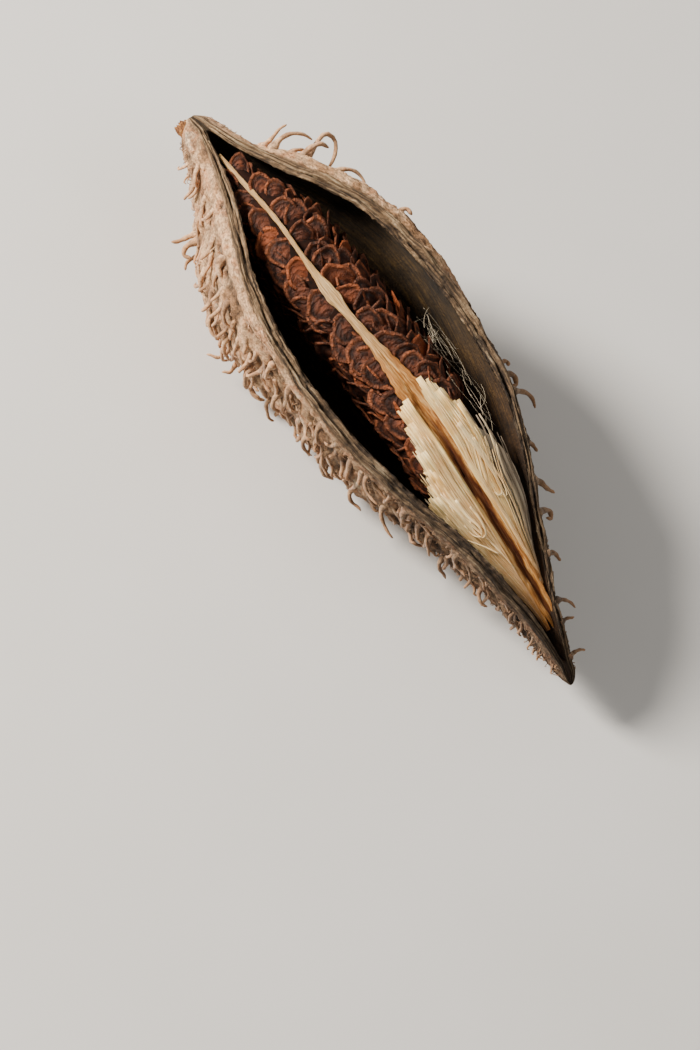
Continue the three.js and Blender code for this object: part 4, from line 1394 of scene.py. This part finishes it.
# Tufts of silk: the angle that each starts at, up from the bundle's side, and its station
LEFT_TUFTS = (
    (80, 52.6), (71, 53.0), (63, 55.2), (56, 59.0), (50, 62.2), (43, 64.6), (33, 65.8), (20, 66.3), (4, 66.9),
    (-16, 67.5), (-40, 68.2),
)
RIGHT_TUFTS = ((79, 50.6), (70, 51.4), (61, 53.6), (53, 56.5), (41, 60.0), (24, 61.0), (4, 62.0))
# Loose locks over the hanks: side, half width in mm, and station, angle and height of their bends
SILK_CURLS = (
    (
        1,
        0.55,
        ((59, 66, 0.7), (64, 62, 0.9), (68.5, 60, 1.0), (70.8, 62, 0.9), (71.2, 68, 0.7), (70.2, 71, 0.6)),
    ),
    (1, 0.3, ((62, 60, 0.8), (67, 57, 1.0), (70.2, 56, 1.1), (71.8, 60, 0.9), (71.0, 64, 0.8))),
    (
        -1,
        0.4,
        ((68, 62, 0.7), (71, 62, 0.9), (73.5, 66, 1.1), (74.6, 60, 1.2), (73.8, 50, 1.0), (71.8, 47, 0.7)),
    ),
    (
        -1,
        0.3,
        ((70, 72, 0.7), (72.6, 73, 1.1), (74.6, 68, 1.3), (74.8, 60, 1.2), (73.2, 55, 1.0), (71.6, 60, 0.8)),
    ),
    (-1, 0.35, ((66, 50, 0.7), (70, 55, 0.9), (73.5, 60, 0.8), (77, 66, 0.7), (81, 70, 0.6))),
    (-1, 0.14, ((78, 62, 0.7), (76, 52, 1.0), (74.2, 40, 1.2), (72.8, 28, 1.1))),
)
# The bow of silk beside the right-hand hank, at each of its bends: station, side and height, how far
# each of these moves across the bow, and how loosely its hairs lie
SILK_BOW = (
    (60.0, 4.6, 11.4, 1.5, 0.6, 0.0, 1.0),
    (64.0, 6.7, 10.8, 1.0, 1.7, 0.3, 1.0),
    (69.0, 7.3, 10.2, 0.5, 2.1, 0.4, 0.8),
    (74.5, 5.5, 9.7, 0.0, 1.7, 0.4, 0.5),
    (80.0, 3.1, 8.6, 0.0, 1.0, 0.3, 0.3),
    (86.0, 1.6, 6.8, 0.0, 0.4, 0.3, 0.2),
    (91.5, 0.9, 4.6, 0.0, 0.2, 0.0, 0.0),
)
BOW_HAIRS, TIGHT_BOW_HAIRS = 300, 250
# Hairs that lie loose between the seeds and the wall
LOOSE_HAIRS = 36
PALE_HAIR = {"across": 0.3, "tone": 1.0, "silver": 0.9, "deep": 0.0, "run": 0.0}


class POD_OT_floss(bpy.types.Operator):
    """Combs the floss: flat locks of silk from their cut ends to the beak, with loose hairs"""

    bl_idname = "pod.floss"
    bl_label = "Floss"

    def execute(self, context):
        size = context.scene.pod_bundle
        lock = strand_model(8, 18)
        hair = strand_model(3, 18)
        for side, name, until, tufts, sleek, seed in (
            (-1, "left", 65, LEFT_TUFTS, -10, 61),
            (1, "right", 55, RIGHT_TUFTS, 45, 71),
        ):
            random = seeded(seed)
            silk = Copies()
            for tuft in tufts:
                # The tufts by the placenta lie in sleek sheets, and the others in separate strands
                sheet = tuft[0] > sleek
                count = size.locks if sheet or side < 0 else 2
                for k in range(count):
                    offset = (k + 0.5) / count * 2 - 1
                    if not sheet:
                        offset += (random() - 0.5) * 0.4
                    self.lock(silk, lock, side, random, tuft, offset, k % 2, sheet)
            for _ in range(size.hairs if side < 0 else size.hairs // 3):
                self.hair(silk, hair, side, random, tufts)
            for turned, half_width, points in SILK_CURLS:
                if turned == side:
                    self.curl(silk, lock, side, random, half_width, points)
            if side > 0:
                self.swept(silk, hair, random)
            made = silk.mesh("silk_" + name)
            wears(made, "silky_floss")
            rides(made, "floss", "floss_" + name)
            u = np.linspace(until + 1.4, SILK_CORE_END, 60)[:, None]
            angle = np.linspace(-math.pi / 2, math.pi / 2, 30)[None, :]
            flare = slimmer(u) if side > 0 else 1.0
            run = (u - until) / (SILK_CORE_END - until) + 0 * angle
            # The core is painted dark as shade under the hank, deeper on the right
            core = draped(
                "silk_core_" + name,
                on_bundle(side, u, angle, -0.7, flare),
                {
                    "across": 9 * angle + 0 * u,
                    "run": run,
                    "tone": 0 * run,
                    "silver": 0 * run,
                    "deep": (0.3 if side < 0 else 0.85) + 0 * run,
                },
            )
            wears(core, "silky_floss")
            rides(core, "floss", "floss_" + name)
        return {"FINISHED"}

    def path(self, side, degrees, start, offset, steps, lift):
        """Stations, angles and heights of a line of silk from its cut end to the beak."""
        t = np.linspace(0, 1, steps + 1)
        u = start + (SILK_END - start) * t
        flare = (1 + (right_flare(u) - 1) * 0.3) * slimmer(u) if side > 0 else np.ones(len(u))
        wide, deep = bundle_half_width(u) * flare, bundle_half_depth(u)
        reach = np.maximum(np.hypot(wide, deep) / math.sqrt(2), 0.8)
        at = math.radians(degrees) + offset * (1 - 0.6 * t) / reach
        if side > 0:
            at = np.maximum(at, math.radians(35) * smooth(72, 85, u))
            at = at + math.radians(15) * smooth(61, 70, u) * (1 - smooth(76, 84, u))
        out = lift * (1 - t) + 0.28 - (0.55 * smooth(82, 89, u) if side > 0 else 0.0)
        limit = np.arccos(np.clip((placenta_width(u) / 2 + 0.1) / (wide + out), 0, 0.96))
        return t, u, np.minimum(at, limit), out, flare

    def lock(self, silk, model, side, random, tuft, offset, layer, sheet):
        """A flat lock of silk in a tuft, part of a sleek sheet or a separate strand."""
        steps = model[1].max()
        degrees, start = tuft
        draws = [random() for _ in range(8)]
        start = start + (1.3 if sheet else 5.0) * (draws[0] - 0.5)
        t, u, at, out, flare = self.path(side, degrees, start, offset, steps, 0.3 + 0.25 * layer)
        wave = PHASE * draws[1]
        out = out + 0.1 * np.sin(5 * t + wave) * (1 - t) + 0.5 * draws[2] ** 3 * (1 - smooth(0, 0.16, t))
        at = at + 0.03 * np.sin(4 * t + wave * 1.7) * (1 - t)
        centre = on_bundle(side, u, at, out, flare)
        across = unit(on_bundle(side, u, at - 0.05, out, flare) - centre)
        flat = unit(np.cross(unit(np.gradient(centre, axis=0)), across))
        tilt = (draws[3] - 0.5) * 0.35
        across, flat = (
            across * math.cos(tilt) + flat * math.sin(tilt),
            flat * math.cos(tilt) - across * math.sin(tilt),
        )
        broad = 0.28 + 0.4 * draws[4] if sheet else 0.08 + 0.2 * draws[4] ** 2
        width = broad * (1 + 0.5 * smooth(0, 0.3, t)) * (1 - 0.75 * t**1.5)
        width = width * (1 - 0.8 * smooth(0.9, 1, t)) * MM
        thick = np.minimum(np.where(t < 0.03, 0.05, 0.13) * (1 - 0.4 * t) * MM, width * 0.8)
        fibres = model[0][:, 0] * float(width[0]) / MM + 20 * draws[6]
        # Separate strands on the right are painted with shade, as they lie in shadow
        shaded = 0.0 if sheet or side < 0 else 0.15 + 0.6 * draws[5]
        silver = 0.0 if sheet else 0.5 + 0.5 * draws[7]
        values = {"across": fibres, "tone": draws[6], "silver": silver, "deep": shaded}
        silk.strand(model, centre, across, flat, width, thick, **values)

    def hair(self, silk, model, side, random, tufts):
        """A loose hair that strays over the locks."""
        steps = model[1].max()
        degrees, start = tufts[int(random() * (len(tufts) - 2))]
        offset = (random() - 0.5) * 2.6
        t, u, at, out, flare = self.path(side, degrees, start + 6 * random() - 0.6, offset, steps, 0.75)
        loose, wave = random() ** 3, random() * PHASE
        out = out + loose * (0.2 + 1.4 * np.sin(3.1 * t + wave) ** 2) * (1 - t)
        at = at + 0.12 * loose * np.sin(4 * t + wave) * (1 - t)
        centre = on_bundle(side, u, at, out, flare)
        side_way, flat = frames_along(centre, (0, 0, 1))
        thin = (0.02 + 0.03 * random()) * MM * np.ones(steps + 1)
        values = {"across": 20 * random(), "tone": 0.9, "silver": 0.2, "deep": 0.0}
        silk.strand(model, centre, side_way, flat, thin, thin, **values)

    def swept(self, silk, model, random):
        """Hairs combed out of the right-hand hank towards its wall, in one wide bow."""
        steps = model[1].max()
        for k in range(BOW_HAIRS):
            tight = k < TIGHT_BOW_HAIRS
            s = 0.3 * random() if tight else 0.3 + 1.0 * random()
            jitter = (random() - 0.5) * 0.3
            points = [
                place(u + wider * s, y - nearer * s + jitter * loose, z - lower * s)
                for u, y, z, wider, nearer, lower, loose in SILK_BOW
            ]
            centre = curve_through(points, steps)
            side_way, flat = frames_along(centre, (0, 0, 1))
            thin = (0.03 + 0.05 * random()) * MM * np.ones(steps + 1)
            values = {"across": 20 * random(), "tone": 0.6 + 0.4 * random(), "silver": 0.8, "run": 0.0}
            # Painted shade, deeper on the loose hairs of the bow
            shaded = 0.1 * random() if tight else 0.5 * random()
            silk.strand(model, centre, side_way, flat, thin, thin * 0.7, deep=shaded, **values)

    def curl(self, silk, model, side, random, half_width, points):
        """A lock that has come loose and curls over the others."""
        u, degrees, out = (np.array(column, float) for column in zip(*points))
        steps = model[1].max()
        centre = curve_through(on_bundle(side, u, np.radians(degrees), out + 0.3), steps)
        side_way, flat = frames_along(centre, (0, 0, 1))
        t = np.linspace(0, 1, steps + 1)
        width = half_width * MM * (1 - 0.75 * t)
        fibres = model[0][:, 0] * half_width + 9 * random()
        values = {"across": fibres, "tone": 1.0, "silver": 0.3, "deep": 0.0, "run": 0.0}
        silk.strand(model, centre, side_way, flat, width, np.minimum(width, 0.08 * MM), **values)


class POD_OT_loose_silk(bpy.types.Operator):
    """Scatters fine loose hairs between the seeds and the right-hand wall"""

    bl_idname = "pod.loose_silk"
    bl_label = "Loose silk"

    def execute(self, context):
        random = seeded(303)
        made = Copies()
        model = strand_model(3, 22)
        steps = model[1].max()
        while len(made.points) < LOOSE_HAIRS:
            # An arc of a circle, left out where it would run into the seeds or the wall
            u, y, heading = 36 + 32 * random(), 20 * random(), PHASE * random()
            radius, swing, lift = 3.5 + 6.0 * random(), 0.5 + 0.9 * random(), random()
            angle = heading + np.linspace(0, swing, 6)
            ahead, aside = u + radius * np.cos(angle), y + radius * np.sin(angle)
            if aside.min() < 4.8 or (aside - 11.8 + 0.25 * np.maximum(ahead - 52, 0)).max() > 0:
                continue
            if ahead.min() < 42 or ahead.max() > 63:
                continue
            height = 12.9 - 0.6 * (aside - 5.0) + 0.9 * lift + 0.3 * np.sin(3 * angle)
            centre = curve_through(place(ahead, aside, height), steps)
            side, flat = frames_along(centre, (0, 0, 1))
            thin = (0.009 + 0.006 * random()) * MM * np.ones(steps + 1)
            made.strand(model, centre, side, flat, thin, thin, **PALE_HAIR)
        silk = made.mesh("loose_silk")
        wears(silk, "silky_floss")
        rides(silk, "floss")
        return {"FINISHED"}


class POD_OT_stub(bpy.types.Operator):
    """Models the broken stump of the stalk"""

    bl_idname = "pod.stub"
    bl_label = "Stalk stub"

    # How far each ring rises and how much it grows, and the height that they come to
    RINGS = ((0.5, 1.05), (0.5, 1.08), (0.5, 1.1), (0.5, 1.06), (0.4, 0.97), (0.25, 0.85), (0.1, 0.6))
    HEIGHT = 2.75

    def execute(self, context):
        nothing_selected()
        start, end = place(3.4, -0.9, 2.2), place(0.0, -1.6, 1.7)
        # Extruded in mm along Z, roughened and then laid from its start to its end
        bpy.ops.mesh.primitive_circle_add(vertices=16, radius=0.9, fill_type="NGON")
        made = context.object
        made.name = made.data.name = "stalk_stump"
        bpy.ops.object.mode_set(mode="EDIT")
        bpy.ops.mesh.select_all(action="SELECT")
        for rise, grow in self.RINGS:
            bpy.ops.mesh.extrude_region_move(TRANSFORM_OT_translate={"value": (0, 0, rise)})
            bpy.ops.transform.resize(value=(grow, grow, 1))
        bpy.ops.mesh.poke()
        bpy.ops.mesh.select_all(action="SELECT")
        bpy.ops.mesh.subdivide(number_cuts=2)
        bpy.ops.mesh.normals_make_consistent(inside=False)
        bpy.ops.object.mode_set(mode="OBJECT")
        axis = unit(end - start)
        across = unit(np.cross((0, 1, 0), axis))
        upward = np.cross(axis, across)
        length = np.linalg.norm(end - start)
        points = points_of(made.data)
        for p in points:
            rough = noise.fractal(Vector(p) * 1.7, 0.6, 2.0, 4)
            torn = noise.noise(Vector((p[0] * 2.4, p[1] * 2.4, 0.0)))
            share = p[2] / self.HEIGHT
            p[:2] *= 1 + 0.16 * rough
            p[2] += 0.55 * torn * max(share - 0.55, 0) / 0.45
        shaped = start + axis * (points[:, 2:] / self.HEIGHT * length)
        shaped = shaped + (points[:, :1] * across + points[:, 1:2] * upward) * MM
        made.data.vertices.foreach_set("co", shaped.astype(np.float32).ravel())
        nothing_selected()
        made.select_set(True)
        context.view_layer.objects.active = made
        bpy.ops.object.shade_smooth_by_angle(angle=math.radians(50))
        wears(made, "broken_stalk")
        rides(made, "stub", "stalk_stub")
        return {"FINISHED"}


class POD_PT_panel(bpy.types.Panel):
    """Lists the pod's pieces and sizes"""

    bl_label = "Milkweed pod"
    bl_idname = "POD_PT_panel"
    bl_space_type = "VIEW_3D"
    bl_region_type = "UI"
    bl_category = "Pod"

    def draw(self, context):
        for operator in OPERATORS:
            self.layout.operator(operator.bl_idname)
        for group in (context.scene.pod_husk, context.scene.pod_bundle, context.scene.pod_colours):
            for key in group.bl_rna.properties.keys():
                if key not in ("rna_type", "name"):
                    self.layout.prop(group, key)


SETTINGS = (HuskSettings, BundleSettings, ColourSettings)
OPERATORS = (
    POD_OT_stage,
    POD_OT_husk,
    POD_OT_spines,
    POD_OT_placenta,
    POD_OT_seeds,
    POD_OT_floss,
    POD_OT_loose_silk,
    POD_OT_stub,
)


def register():
    for each in (*SETTINGS, *OPERATORS, POD_PT_panel):
        bpy.utils.register_class(each)
    bpy.types.Scene.pod_husk = bpy.props.PointerProperty(type=HuskSettings)
    bpy.types.Scene.pod_bundle = bpy.props.PointerProperty(type=BundleSettings)
    bpy.types.Scene.pod_colours = bpy.props.PointerProperty(type=ColourSettings)


def unregister():
    del bpy.types.Scene.pod_husk
    del bpy.types.Scene.pod_bundle
    del bpy.types.Scene.pod_colours
    for each in (POD_PT_panel, *reversed(OPERATORS), *reversed(SETTINGS)):
        bpy.utils.unregister_class(each)


def main():
    """Builds the stage and every piece."""
    register()
    bpy.ops.pod.stage()
    bpy.ops.pod.husk()
    bpy.ops.pod.spines()
    bpy.ops.pod.placenta()
    bpy.ops.pod.seeds()
    bpy.ops.pod.floss()
    bpy.ops.pod.loose_silk()
    bpy.ops.pod.stub()


if __name__ == "__main__":
    main()
